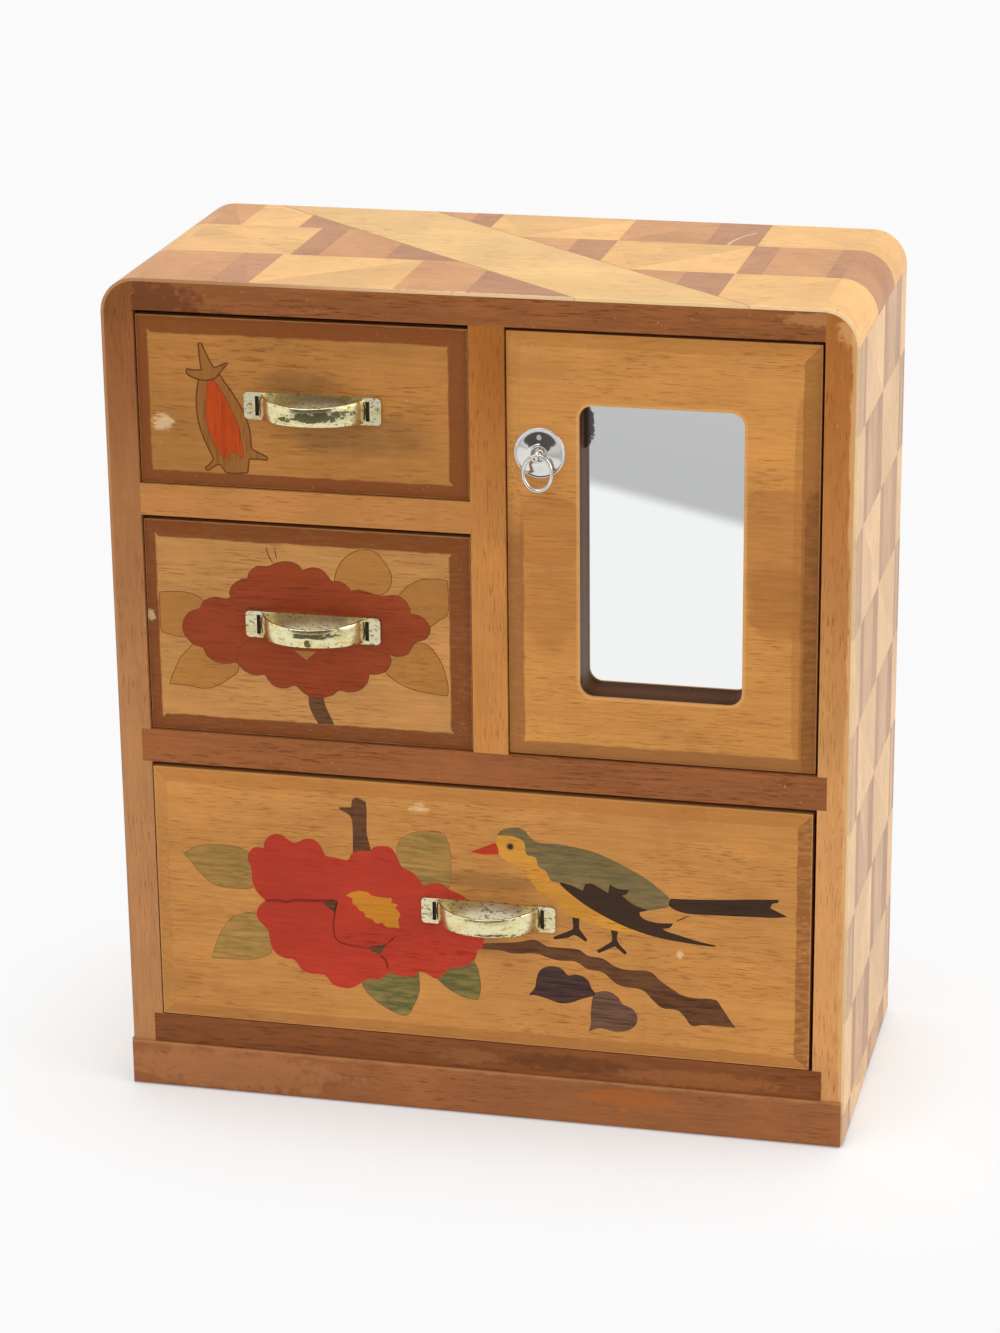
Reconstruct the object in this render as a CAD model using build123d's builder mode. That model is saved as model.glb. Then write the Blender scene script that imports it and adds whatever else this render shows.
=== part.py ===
from build123d import *
import os

# Small tansu chest. Millimetres, x to the right seen from the front, y to the back, z up.
# The origin is on the floor, below the middle of the whole chest, handles included.

# ---------------------------------------------------------------- case
case_width = 240.0
case_depth = 110.0
case_height = 278.0
corner_radius = 11.5        # outer radius of the two long top edges
sheet_thick = 1.0           # parquetry sheet over the top and sides
side_thick = 9.5
top_thick = 9.2
bottom_thick = 10.3
shelf_thick = 11.2
small_shelf_thick = 10.4
divider_thick = 11.3
housing_depth = 3.0         # how far the bottom board and the middle shelf enter the sides
back_thick = 3.0
rebate_width = 4.0          # how far the back panel laps onto the sides and the top
plinth_height = 16.0
plinth_rail_depth = 12.0
plinth_proud = 0.8          # the front rail stands this far out, in front and at the left end
plinth_easing = 1.2         # rounding of the front rail's worn edges

# ---------------------------------------------------------------- bays
left_bay_width = 108.2
bottom_bay_height = 90.2
middle_bay_height = 73.0

# ---------------------------------------------------------------- fronts
face_veneer = 0.4
bevel_width = 4.75          # hand-cut bevel round every front
bevel_depth = 1.2
drawer_front_thick = 9.0
drawer_under_gap = 0.3
drawer_over_gap = 1.6
drawer_side_gap = 0.4
drawer_back_gap = 0.4
bottom_drawer_proud = 1.2   # the bottom drawer stands a little forward of the case
drawer_wall = 5.0
drawer_floor = 2.5
drawer_wall_drop = 3.0      # the walls end this far below the top of the front
drawer_box_inset = 0.3      # the walls stand in from the ends of the front
bottom_drawer_right_gap = 1.2   # the widest gap, at the end of the long drawer

# ---------------------------------------------------------------- door
door_thick = 10.0           # face veneer included
door_under_gap = 0.5
door_over_gap = 1.3
door_latch_gap = 0.4        # at the divider
door_pivot_gap = 0.9        # at the right side, wide enough for the corner to swing past
pivot_from_edge = 4.0
pivot_from_face = 3.4
pivot_pin_radius = 1.2
pivot_clearance = 0.05
pivot_pin_in_door = 5.0
pivot_pin_in_case = 4.0
pin_end_gap = 0.5
window_left = 23.5          # from the divider to the window
window_right = 24.3         # from the window to the right side
window_bottom = 21.6        # from the middle shelf to the window
window_top = 23.6           # from the window to the top board
window_radius = 4.4
mirror_thick = 2.0
mirror_lap = 4.0            # how far the mirror passes behind the window's edge
mirror_fit = 0.2
backing_thick = 1.5
backing_lap = 9.0
tack_radius = 1.4
tack_head = 0.6
tack_shank_radius = 0.5
tack_length = 4.0
tack_inset = 2.2            # from the backing's edge to the row of tacks
stop_width = 8.0
stop_depth = 7.0
stop_height = 60.0
stop_gap = 0.3
catch_radius = 2.5
catch_magnet_length = 5.0
catch_disc_thick = 0.6
catch_fit = 0.05

# ---------------------------------------------------------------- handles
# Each handle's middle lies right of and above the middle of its drawer's front.
top_handle_shift = 4.0
top_handle_rise = 0.2
middle_handle_shift = 2.2
middle_handle_rise = 3.05
bottom_handle_shift = 3.8
bottom_handle_rise = 1.85
handle_length = 44.5
handle_height = 8.8
handle_reach = 13.0         # from the drawer's face to the front of the bow
handle_plate_thick = 1.2
handle_corner = 1.4
bow_span = 34.5
bow_thick = 1.0
bow_end_height = 7.8
bow_middle_height = 6.0
slot_width = 1.3
slot_height = 6.4
brad_radius = 0.8
brad_head = 0.4
brad_shank_radius = 0.45
brad_length = 6.0

# ---------------------------------------------------------------- ring pull
pull_x_from_divider = 11.1
pull_rise = 30.95           # above the middle of the door
pull_plate_radius = 8.15
pull_plate_thick = 0.6
collar_radius = 2.7
collar_bead = 0.45
eye_radius = 1.35           # middle of the eye's wire
eye_wire = 0.5
eye_reach = 3.6             # from the door's face to the middle of the eye
eye_shank_radius = 0.55
eye_shank_in_door = 4.5
ring_half_width = 4.5       # to the middle of the ring's wire
ring_half_height = 5.6
ring_wire = 0.6
pull_nail_rise = 5.2        # the plate's small nail, above its middle
pull_nail_radius = 0.8
pull_nail_head = 0.5
pull_nail_length = 4.0
nail_fit = 0.03

# ---------------------------------------------------------------- back nails
nail_radius = 1.6
nail_head = 0.5
nail_shank_radius = 0.6
nail_length = 10.0
nail_inset = 1.8            # from the panel's edge to the nails
nail_rows = 4

# ---------------------------------------------------------------- parquetry
# Plan of the top, x from the middle and y from the front. A diagonal band runs from the back
# left to the front right. The tiles left and right of it belong to two separate patterns.
joint = 0.04                # hairline between two tiles
band_front_x = 31.9         # where the band's left edge meets the front
band_run = 1.13             # sideways shift of the band for each unit of depth
band_width = 54.4           # across, along x
top_front_row = 40.0        # depth of the front row of tiles
top_middle_row = 38.5
sheet_foot = 1.0            # the side sheets end this far above the floor
side_first_column = 15.5    # the front column of the sides is narrower
side_column_width = 41.0
side_first_row = 28.1       # the top row of the sides is cut short by the seam
side_row_height = 32.4
dark_tile_strips = (0.2, 0.7)   # the middle strip of a dark side tile, as shares of its width
least_tile_volume = 1.0     # corners of tiles smaller than this are left out

# Each row lists its tiles from left to right as (kind, x of the tile's right edge).
to_edge = None              # the tile runs on to the edge of the top
left_pattern = (
    (("orange", -84.0), ("mauve", -71.5), ("light", -25.0), ("orange", -2.0), ("mauve", to_edge)),
    (("light", -69.2), ("mauve", -60.0), ("orange", -38.0), ("mauve", to_edge)),
    (("orange", -97.5), ("light", -77.5), ("mauve", to_edge)),
)
right_pattern = (
    (("orange", 59.5), ("mauve", 74.8), ("light", to_edge)),
    (
        ("orange", 17.0), ("mauve", 30.0), ("light", 75.2),
        ("mauve", 83.2), ("orange", 103.5), ("mauve", to_edge),
    ),
    (
        ("orange", -23.7), ("mauve", -15.0), ("light", 30.0),
        ("orange", 58.8), ("mauve", 75.5), ("light", to_edge),
    ),
)

# ---------------------------------------------------------------- worked out
front_reach = bottom_drawer_proud + handle_reach
front_y = -(case_depth - front_reach) / 2
back_y = front_y + case_depth
half_width = case_width / 2
inner_half = half_width - sheet_thick - side_thick
panel_y = back_y - back_thick
inside_top = case_height - sheet_thick - top_thick
bottom_top = plinth_height + bottom_thick
shelf_under = bottom_top + bottom_bay_height
shelf_top = shelf_under + shelf_thick
small_shelf_under = shelf_top + middle_bay_height
small_shelf_top = small_shelf_under + small_shelf_thick
divider_left = -inner_half + left_bay_width
divider_right = divider_left + divider_thick
seam_z = case_height - corner_radius    # where the top sheet meets the side sheets
plinth_y = front_y - plinth_proud
far = 2 * case_width                    # past every face, for cutting tools

case_y = (front_y, back_y)
inside_y = (front_y, panel_y)

parts = {}


def upright(y):
    """Plane facing the front at depth y: sketch x is x, sketch y is z. Extrude by minus to go back."""
    return Plane.XZ.offset(-y)


def block(x, y, z, mode=Mode.ADD):
    """Rectangular block in the part being built, from its low and high limits on each axis."""
    with Locations(((x[0] + x[1]) / 2, (y[0] + y[1]) / 2, (z[0] + z[1]) / 2)):
        Box(x[1] - x[0], y[1] - y[0], z[1] - z[0], mode=mode)


def rod(x, z, y, radius, mode=Mode.ADD):
    """Round bar along y between two depths, in the part being built."""
    with Locations(Location((x, (y[0] + y[1]) / 2, z), (90, 0, 0))):
        Cylinder(radius, y[1] - y[0], mode=mode)


def post(x, y, z, radius, mode=Mode.ADD):
    """Round bar along z between two heights, in the part being built."""
    with Locations((x, y, (z[0] + z[1]) / 2)):
        Cylinder(radius, z[1] - z[0], mode=mode)


def mirrored(span, side):
    """A span on the right of the middle, or its image on the left."""
    return span if side > 0 else (-span[1], -span[0])


def grown(span, by):
    """A span made longer by the same amount at both ends."""
    return (span[0] - by, span[1] + by)


def keep(name, builder):
    """Label a finished piece with its node's name."""
    builder.part.label = name
    parts[name] = builder.part


def plain_board(name, x, y, z):
    """A piece that is one rectangular board."""
    with BuildPart() as board:
        block(x, y, z)
    keep(name, board)


# ================================================================ plinth
rail_x = half_width - sheet_thick
with BuildPart() as plinth_front:
    block((-half_width - plinth_proud, rail_x), (plinth_y, plinth_y + plinth_rail_depth), (0, plinth_height))
    front_face = plinth_front.faces().sort_by(Axis.Y)[0]
    worn_edges = front_face.edges().sort_by(Axis.Z)[0:1] + front_face.edges().sort_by(Axis.X)[0:1]
    fillet(worn_edges, plinth_easing)
keep("plinth_front", plinth_front)

plain_board("plinth_back", (-rail_x, rail_x), (back_y - plinth_rail_depth, back_y), (0, plinth_height))
for side, name in ((-1, "plinth_left"), (1, "plinth_right")):
    plain_board(
        name,
        mirrored((rail_x - plinth_rail_depth, rail_x), side),
        (plinth_y + plinth_rail_depth, back_y - plinth_rail_depth),
        (0, plinth_height),
    )

# ================================================================ case boards
panel_x = (-inner_half - rebate_width, inner_half + rebate_width)
panel_z = (plinth_height, inside_top + rebate_width)
nail_x = panel_x[1] - nail_inset
nail_low = plinth_height + bottom_thick / 2
nail_high = panel_z[1] - nail_inset
nail_points = []
for row in range(nail_rows):
    nail_z = nail_low + (nail_high - nail_low) * row / (nail_rows - 1)
    nail_points += [(-nail_x, nail_z), (nail_x, nail_z)]
nail_points += [(0, nail_low), (0, nail_high)]


def back_nail_holes():
    """Holes for the back panel's nails, cut into the part being built."""
    for x, z in nail_points:
        rod(x, z, (back_y - nail_length - pin_end_gap, back_y), nail_shank_radius + nail_fit, Mode.SUBTRACT)


def case_section(inset):
    """Front outline of the case moved in by inset: upright sides and two rounded top corners."""
    with BuildSketch() as section:
        Rectangle(case_width - 2 * inset, case_height - inset, align=(Align.CENTER, Align.MIN))
        fillet(section.vertices().group_by(Axis.Y)[-1], corner_radius - inset)
    return section.sketch


with BuildPart() as bottom_board:
    block(grown((-inner_half, inner_half), housing_depth), inside_y, (plinth_height, bottom_top))
    back_nail_holes()
keep("bottom_board", bottom_board)

plain_board("small_shelf", (-inner_half, divider_left), inside_y, (small_shelf_under, small_shelf_top))
plain_board("vertical_divider", (divider_left, divider_right), inside_y, (shelf_top, inside_top))

for side, name in ((-1, "side_left"), (1, "side_right")):
    with BuildPart() as side_board:
        with BuildSketch(upright(front_y)):
            add(case_section(sheet_thick))
        extrude(amount=-case_depth)
        block(mirrored((inner_half, far), side), case_y, (plinth_height, case_height), Mode.INTERSECT)
        housing_x = mirrored((inner_half, inner_half + housing_depth), side)
        block(housing_x, inside_y, (plinth_height, bottom_top), Mode.SUBTRACT)
        block(housing_x, inside_y, (shelf_under, shelf_top), Mode.SUBTRACT)
        rebate_x = mirrored((inner_half, inner_half + rebate_width), side)
        block(rebate_x, (panel_y, back_y), panel_z, Mode.SUBTRACT)
        back_nail_holes()
    keep(name, side_board)

# The door's pivot stands near the right side, just behind the faces.
door_x = (divider_right + door_latch_gap, inner_half - door_pivot_gap)
door_z = (shelf_top + door_under_gap, inside_top - door_over_gap)
pivot_x = door_x[1] - pivot_from_edge
pivot_y = front_y + pivot_from_face
pin_hole = pivot_pin_radius + nail_fit

with BuildPart() as top_board:
    with BuildSketch(upright(front_y)):
        add(case_section(sheet_thick))
    extrude(amount=-case_depth)
    block((-inner_half, inner_half), case_y, (inside_top, case_height), Mode.INTERSECT)
    block((-far, far), (panel_y, back_y), (inside_top, panel_z[1]), Mode.SUBTRACT)
    back_nail_holes()
    hole_end = inside_top + pivot_pin_in_case + pin_end_gap
    post(pivot_x, pivot_y, (inside_top, hole_end), pin_hole, Mode.SUBTRACT)
keep("top_board", top_board)

with BuildPart() as middle_shelf:
    block(grown((-inner_half, inner_half), housing_depth), inside_y, (shelf_under, shelf_top))
    hole_end = shelf_top - pivot_pin_in_case - pin_end_gap
    post(pivot_x, pivot_y, (hole_end, shelf_top), pin_hole, Mode.SUBTRACT)
keep("middle_shelf", middle_shelf)

with BuildPart() as back_panel:
    block(panel_x, (panel_y, back_y), panel_z)
    back_nail_holes()
keep("back_panel", back_panel)

with BuildPart() as back_nails:
    for x, z in nail_points:
        rod(x, z, (back_y - nail_length, back_y), nail_shank_radius)
        rod(x, z, (back_y, back_y + nail_head), nail_radius)
keep("back_nails", back_nails)

# ================================================================ parquetry
def sheet_piece(x, y, z):
    """The part of the sheet round the case that lies inside a block."""
    with BuildPart() as piece:
        with BuildSketch(upright(y[0])):
            add(case_section(0))
            add(case_section(sheet_thick), mode=Mode.SUBTRACT)
        extrude(amount=-(y[1] - y[0]))
        block(x, y, z, Mode.INTERSECT)
    return piece.part


def band_edge_x(y):
    """x of the band's left edge at depth y."""
    return band_front_x - (y - front_y) * band_run


def plan_strip(left_front, left_back, right_front, right_back):
    """Tall prism over the top, from its corners' x at the front and at the back."""
    with BuildPart() as strip:
        with BuildSketch(Plane.XY.offset(seam_z)):
            with BuildLine():
                Polyline(
                    (left_front, front_y),
                    (right_front, front_y),
                    (right_back, back_y),
                    (left_back, back_y),
                    close=True,
                )
            make_face()
        extrude(amount=far)
    return strip.part


def top_tiles(pattern, off_limits):
    """The tiles of one pattern as (kind, piece), cut back where the band lies."""
    tiles = []
    middle_row_y = front_y + top_front_row
    row_cuts = (front_y, middle_row_y, middle_row_y + top_middle_row, back_y)
    for row, tiles_in_row in enumerate(pattern):
        y = (row_cuts[row], row_cuts[row + 1])
        start = -half_width
        for kind, right_edge in tiles_in_row:
            end = half_width if right_edge is to_edge else right_edge
            span = grown((start, end), -joint / 2)
            with BuildPart() as tile:
                add(sheet_piece(span, grown(y, -joint / 2), (seam_z, case_height)))
                add(off_limits, mode=Mode.SUBTRACT)
            if tile.part.volume > least_tile_volume:
                tiles.append((kind, tile.part))
            start = end
    return tiles


band_front = band_edge_x(front_y)
band_back = band_edge_x(back_y)
right_of_left_edge = plan_strip(band_front - joint, band_back - joint, far, far)
left_of_right_edge = plan_strip(-far, -far, band_front + band_width + joint, band_back + band_width + joint)
tiles = top_tiles(left_pattern, right_of_left_edge) + top_tiles(right_pattern, left_of_right_edge)

with BuildPart() as parquet_band:
    add(plan_strip(band_front, band_back, band_front + band_width, band_back + band_width))
    add(sheet_piece((-half_width, half_width), case_y, (seam_z, case_height)), mode=Mode.INTERSECT)
keep("parquet_band", parquet_band)


side_column_cuts = [0.0]
while side_first_column + (len(side_column_cuts) - 1) * side_column_width < case_depth:
    side_column_cuts.append(side_first_column + (len(side_column_cuts) - 1) * side_column_width)
side_column_cuts.append(case_depth)


def side_tiles(side):
    """The checkerboard on one side of the case as (kind, piece)."""
    found = []
    outer_x = mirrored((inner_half, half_width), side)
    high = seam_z
    row = 0
    while high > sheet_foot + joint:
        low = max(sheet_foot, seam_z - side_first_row - row * side_row_height)
        z = grown((low, high), -joint / 2)
        for column in range(len(side_column_cuts) - 1):
            start = side_column_cuts[column]
            width = side_column_cuts[column + 1] - start
            if (row + column) % 2:
                strips = (("side_light", 0.0, 1.0),)
            else:
                middle = dark_tile_strips
                strips = (
                    ("side_dark", 0.0, middle[0]),
                    ("side_mid", middle[0], middle[1]),
                    ("side_dark", middle[1], 1.0),
                )
            for kind, share_from, share_to in strips:
                y = (front_y + start + width * share_from, front_y + start + width * share_to)
                with BuildPart() as tile:
                    add(sheet_piece(outer_x, grown(y, -joint / 2), z))
                    rail_y = (plinth_y - joint, plinth_y + plinth_rail_depth + joint)
                    block((-far, -rail_x), rail_y, (0, plinth_height + joint), Mode.SUBTRACT)
                if tile.part.volume > least_tile_volume:
                    found.append((kind, tile.part))
        high = low
        row += 1
    return found


tiles += side_tiles(-1) + side_tiles(1)
tile_nodes = {
    "light": "parquet_top_light",
    "mauve": "parquet_top_mauve",
    "orange": "parquet_top_orange",
    "side_light": "parquet_side_light",
    "side_dark": "parquet_side_dark",
    "side_mid": "parquet_side_mid",
}
for kind, name in tile_nodes.items():
    with BuildPart() as tile_group:
        add([piece for tile_kind, piece in tiles if tile_kind == kind])
    keep(name, tile_group)


# ================================================================ fronts
def bevel_inset(depth):
    """How far the bevelled edge stands in at a depth behind the face."""
    return bevel_width * max(0.0, 1 - depth / bevel_depth)


def front_slice(x, z, face_y, near, away):
    """Slice of a bevelled front between two depths behind its face."""
    with BuildPart() as piece:
        bevel_end = min(away, bevel_depth)
        for depth in (near, bevel_end):
            with BuildSketch(upright(face_y + depth)):
                with Locations(((x[0] + x[1]) / 2, (z[0] + z[1]) / 2)):
                    inset = bevel_inset(depth)
                    Rectangle(x[1] - x[0] - 2 * inset, z[1] - z[0] - 2 * inset)
        loft()
        if away > bevel_depth:
            block(x, (face_y + bevel_depth, face_y + away), z)
    return piece.part


def handle_brad_points(x, z):
    """Where the two brads of a handle go through the drawer's front."""
    reach = (handle_length + bow_span) / 4 + slot_width / 2
    return ((x - reach, z), (x + reach, z))


def drill_for_brads(points, y):
    """Holes for a handle's brads, cut into the part being built."""
    for x, z in points:
        rod(x, z, y, brad_shank_radius + nail_fit, Mode.SUBTRACT)


def handle(name, x, z, face_y):
    """Bridge pull: slotted back plate, bowed strap and two brads."""
    plate_y = face_y - handle_plate_thick
    brads = handle_brad_points(x, z)
    with BuildPart() as plate:
        with BuildSketch(upright(face_y)):
            with Locations((x, z)):
                RectangleRounded(handle_length, handle_height, handle_corner)
            slot_x = (bow_span + slot_width) / 2
            with Locations((x - slot_x, z), (x + slot_x, z)):
                Rectangle(slot_width, slot_height, mode=Mode.SUBTRACT)
        extrude(amount=handle_plate_thick)
        drill_for_brads(brads, (plate_y, face_y))
    keep(f"{name}_handle_plate", plate)

    half_span = bow_span / 2
    bow_reach = handle_reach - handle_plate_thick
    with BuildPart() as bow:
        with BuildSketch(Plane.XY.offset(z - bow_end_height / 2)):
            with BuildLine():
                ThreePointArc((x - half_span, plate_y), (x, plate_y - bow_reach), (x + half_span, plate_y))
                Line((x + half_span, plate_y), (x + half_span - bow_thick, plate_y))
                ThreePointArc(
                    (x + half_span - bow_thick, plate_y),
                    (x, plate_y - bow_reach + bow_thick),
                    (x - half_span + bow_thick, plate_y),
                )
                Line((x - half_span + bow_thick, plate_y), (x - half_span, plate_y))
            make_face()
        extrude(amount=bow_end_height)
        with BuildSketch(upright(plate_y)):
            with BuildLine():
                end = bow_end_height / 2
                middle = bow_middle_height / 2
                ThreePointArc((x - half_span, z + end), (x, z + middle), (x + half_span, z + end))
                Line((x + half_span, z + end), (x + half_span, z - end))
                ThreePointArc((x + half_span, z - end), (x, z - middle), (x - half_span, z - end))
                Line((x - half_span, z - end), (x - half_span, z + end))
            make_face()
        extrude(amount=2 * bow_reach, mode=Mode.INTERSECT)
    keep(f"{name}_handle_bow", bow)

    with BuildPart() as pins:
        for brad_x, brad_z in brads:
            rod(brad_x, brad_z, (plate_y, plate_y + brad_length), brad_shank_radius)
            rod(brad_x, brad_z, (plate_y - brad_head, plate_y), brad_radius)
    keep(f"{name}_handle_brads", pins)


def drawer(name, bay_x, bay_z, proud, right_gap, handle_shift, handle_rise):
    """One drawer: bevelled front with its veneer, four thin boards, and its handle."""
    face_y = front_y - proud
    x = (bay_x[0] + drawer_side_gap, bay_x[1] - right_gap)
    z = (bay_z[0] + drawer_under_gap, bay_z[1] - drawer_over_gap)
    handle_x = (x[0] + x[1]) / 2 + handle_shift
    handle_z = (z[0] + z[1]) / 2 + handle_rise
    brads = handle_brad_points(handle_x, handle_z)
    brad_y = (face_y, face_y + brad_length)

    with BuildPart() as front:
        add(front_slice(x, z, face_y, face_veneer, drawer_front_thick))
        drill_for_brads(brads, brad_y)
    keep(f"{name}_front", front)

    with BuildPart() as veneer:
        add(front_slice(x, z, face_y, 0.0, face_veneer))
        drill_for_brads(brads, brad_y)
    keep(f"{name}_veneer", veneer)

    wall_y = (face_y + drawer_front_thick, panel_y - drawer_back_gap)
    outer = grown(x, -drawer_box_inset)
    wall_z = (z[0] + drawer_floor, z[1] - drawer_wall_drop)
    inner = grown(outer, -drawer_wall)
    plain_board(f"{name}_side_left", (outer[0], inner[0]), wall_y, wall_z)
    plain_board(f"{name}_side_right", (inner[1], outer[1]), wall_y, wall_z)
    plain_board(f"{name}_back", inner, (wall_y[1] - drawer_wall, wall_y[1]), wall_z)
    plain_board(f"{name}_bottom", outer, wall_y, (z[0], z[0] + drawer_floor))
    handle(name, handle_x, handle_z, face_y)


left_bay = (-inner_half, divider_left)
full_bay = (-inner_half, inner_half)
top_bay_z = (small_shelf_top, inside_top)
middle_bay_z = (shelf_top, small_shelf_under)
bottom_bay_z = (bottom_top, shelf_under)
drawer("top_drawer", left_bay, top_bay_z, 0.0, drawer_side_gap, top_handle_shift, top_handle_rise)
drawer("middle_drawer", left_bay, middle_bay_z, 0.0, drawer_side_gap, middle_handle_shift, middle_handle_rise)
drawer(
    "bottom_drawer",
    full_bay,
    bottom_bay_z,
    bottom_drawer_proud,
    bottom_drawer_right_gap,
    bottom_handle_shift,
    bottom_handle_rise,
)

# ================================================================ door
window_x = (divider_right + window_left, inner_half - window_right)
window_z = (shelf_top + window_bottom, inside_top - window_top)
window_width = window_x[1] - window_x[0]
window_height = window_z[1] - window_z[0]
window_middle = ((window_x[0] + window_x[1]) / 2, (window_z[0] + window_z[1]) / 2)
door_back_y = front_y + door_thick
mirror_y = (door_back_y - mirror_thick, door_back_y)
mirror_x = grown(window_x, mirror_lap)
mirror_z = grown(window_z, mirror_lap)
pull_x = divider_right + pull_x_from_divider
catch_z = (door_z[0] + door_z[1]) / 2
pull_z = catch_z + pull_rise
catch_x = divider_right + stop_width / 2 + door_latch_gap
tack_x = grown(window_x, backing_lap - tack_inset)
tack_z = grown(window_z, backing_lap - tack_inset)
tack_points = [(tx, tz) for tx in tack_x for tz in (tack_z[0], window_middle[1], tack_z[1])]


def pull_holes():
    """Holes for the ring pull's eye and nail, cut into the part being built."""
    eye_end = front_y + eye_shank_in_door
    rod(pull_x, pull_z, (front_y, eye_end), eye_shank_radius + nail_fit, Mode.SUBTRACT)
    nail_end = front_y + pull_nail_length
    rod(pull_x, pull_z + pull_nail_rise, (front_y, nail_end), brad_shank_radius + nail_fit, Mode.SUBTRACT)


with BuildPart() as door_panel:
    add(front_slice(door_x, door_z, front_y, face_veneer, door_thick))
    with BuildSketch(upright(front_y)):
        with Locations(window_middle):
            RectangleRounded(window_width, window_height, window_radius)
    extrude(amount=-door_thick, mode=Mode.SUBTRACT)
    block(grown(mirror_x, mirror_fit), mirror_y, grown(mirror_z, mirror_fit), Mode.SUBTRACT)
    hole_radius = pivot_pin_radius + pivot_clearance
    hole_depth = pivot_pin_in_door + pin_end_gap
    post(pivot_x, pivot_y, (door_z[1] - hole_depth, door_z[1]), hole_radius, Mode.SUBTRACT)
    post(pivot_x, pivot_y, (door_z[0], door_z[0] + hole_depth), hole_radius, Mode.SUBTRACT)
    pull_holes()
    for x, z in tack_points:
        tack_end = door_back_y + backing_thick - tack_length
        rod(x, z, (tack_end - pin_end_gap, door_back_y), tack_shank_radius + nail_fit, Mode.SUBTRACT)
    disc_y = (door_back_y - catch_disc_thick, door_back_y)
    rod(catch_x, catch_z, disc_y, catch_radius + catch_fit, Mode.SUBTRACT)
keep("door_panel", door_panel)

with BuildPart() as door_veneer:
    add(front_slice(door_x, door_z, front_y, 0.0, face_veneer))
    with BuildSketch(upright(front_y)):
        with Locations(window_middle):
            RectangleRounded(window_width, window_height, window_radius)
    extrude(amount=-door_thick, mode=Mode.SUBTRACT)
    pull_holes()
keep("door_veneer", door_veneer)

plain_board("door_mirror", mirror_x, mirror_y, mirror_z)

with BuildPart() as door_backing:
    backing_y = (door_back_y, door_back_y + backing_thick)
    block(grown(window_x, backing_lap), backing_y, grown(window_z, backing_lap))
    for x, z in tack_points:
        rod(x, z, backing_y, tack_shank_radius + nail_fit, Mode.SUBTRACT)
keep("door_backing", door_backing)

with BuildPart() as backing_tacks:
    for x, z in tack_points:
        head_y = door_back_y + backing_thick
        rod(x, z, (head_y - tack_length, head_y), tack_shank_radius)
        rod(x, z, (head_y, head_y + tack_head), tack_radius)
keep("backing_tacks", backing_tacks)

with BuildPart() as door_pins:
    post(pivot_x, pivot_y, (door_z[1] - pivot_pin_in_door, inside_top + pivot_pin_in_case), pivot_pin_radius)
    post(pivot_x, pivot_y, (shelf_top - pivot_pin_in_case, door_z[0] + pivot_pin_in_door), pivot_pin_radius)
keep("door_pins", door_pins)

# The stop strip stands on the divider, behind the door's free edge, and carries the magnet.
stop_y = (door_back_y + stop_gap, door_back_y + stop_gap + stop_depth)
magnet_y = (stop_y[0], stop_y[0] + catch_magnet_length)
with BuildPart() as door_stop:
    block(
        (divider_right, divider_right + stop_width),
        stop_y,
        (catch_z - stop_height / 2, catch_z + stop_height / 2),
    )
    rod(catch_x, catch_z, magnet_y, catch_radius + catch_fit, Mode.SUBTRACT)
keep("door_stop", door_stop)

with BuildPart() as catch_magnet:
    rod(catch_x, catch_z, magnet_y, catch_radius)
keep("catch_magnet", catch_magnet)

with BuildPart() as catch_disc:
    rod(catch_x, catch_z, disc_y, catch_radius)
keep("catch_disc", catch_disc)

# ================================================================ ring pull
plate_front_y = front_y - pull_plate_thick
eye_y = front_y - eye_reach
with BuildPart() as pull_plate:
    rod(pull_x, pull_z, (plate_front_y, front_y), pull_plate_radius)
    with Locations(Location((pull_x, plate_front_y, pull_z), (90, 0, 0))):
        Torus(collar_radius, collar_bead)
    rod(pull_x, pull_z, (plate_front_y - far, front_y), eye_shank_radius + nail_fit, Mode.SUBTRACT)
    block((-far, far), (front_y, front_y + far), (0, far), Mode.SUBTRACT)
    nail_hole = brad_shank_radius + nail_fit
    rod(pull_x, pull_z + pull_nail_rise, (plate_front_y, front_y), nail_hole, Mode.SUBTRACT)
keep("pull_plate", pull_plate)

with BuildPart() as pull_eye:
    rod(pull_x, pull_z, (eye_y + eye_radius, front_y + eye_shank_in_door), eye_shank_radius)
    with Locations(Location((pull_x, eye_y, pull_z), (0, 90, 0))):
        Torus(eye_radius, eye_wire)
keep("pull_eye", pull_eye)

with BuildPart() as pull_nail:
    nail_z = pull_z + pull_nail_rise
    rod(pull_x, nail_z, (plate_front_y, front_y + pull_nail_length), brad_shank_radius)
    rod(pull_x, nail_z, (plate_front_y - pull_nail_head, plate_front_y), pull_nail_radius)
keep("pull_nail", pull_nail)

# The oval ring hangs with the top of its wire in the eye.
ring_middle = pull_z - ring_half_height
half_turn = 180
with BuildPart() as pull_ring:
    with BuildLine(upright(eye_y)) as ring_path:
        for start_angle in (-90, 90):
            EllipticalCenterArc(
                (pull_x, ring_middle),
                ring_half_width,
                ring_half_height,
                start_angle=start_angle,
                arc_size=half_turn,
            )
    ring_wire_path = ring_path.wire()
    with BuildSketch(Plane(origin=ring_wire_path @ 0, z_dir=ring_wire_path % 0)):
        Circle(ring_wire)
    sweep(path=ring_wire_path)
keep("pull_ring", pull_ring)


# ================================================================ write
os.makedirs("parts", exist_ok=True)
for name, piece in parts.items():
    export_step(piece, f"parts/{name}.step")
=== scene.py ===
import math

import bmesh
import bpy
from mathutils import Matrix, Vector


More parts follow.
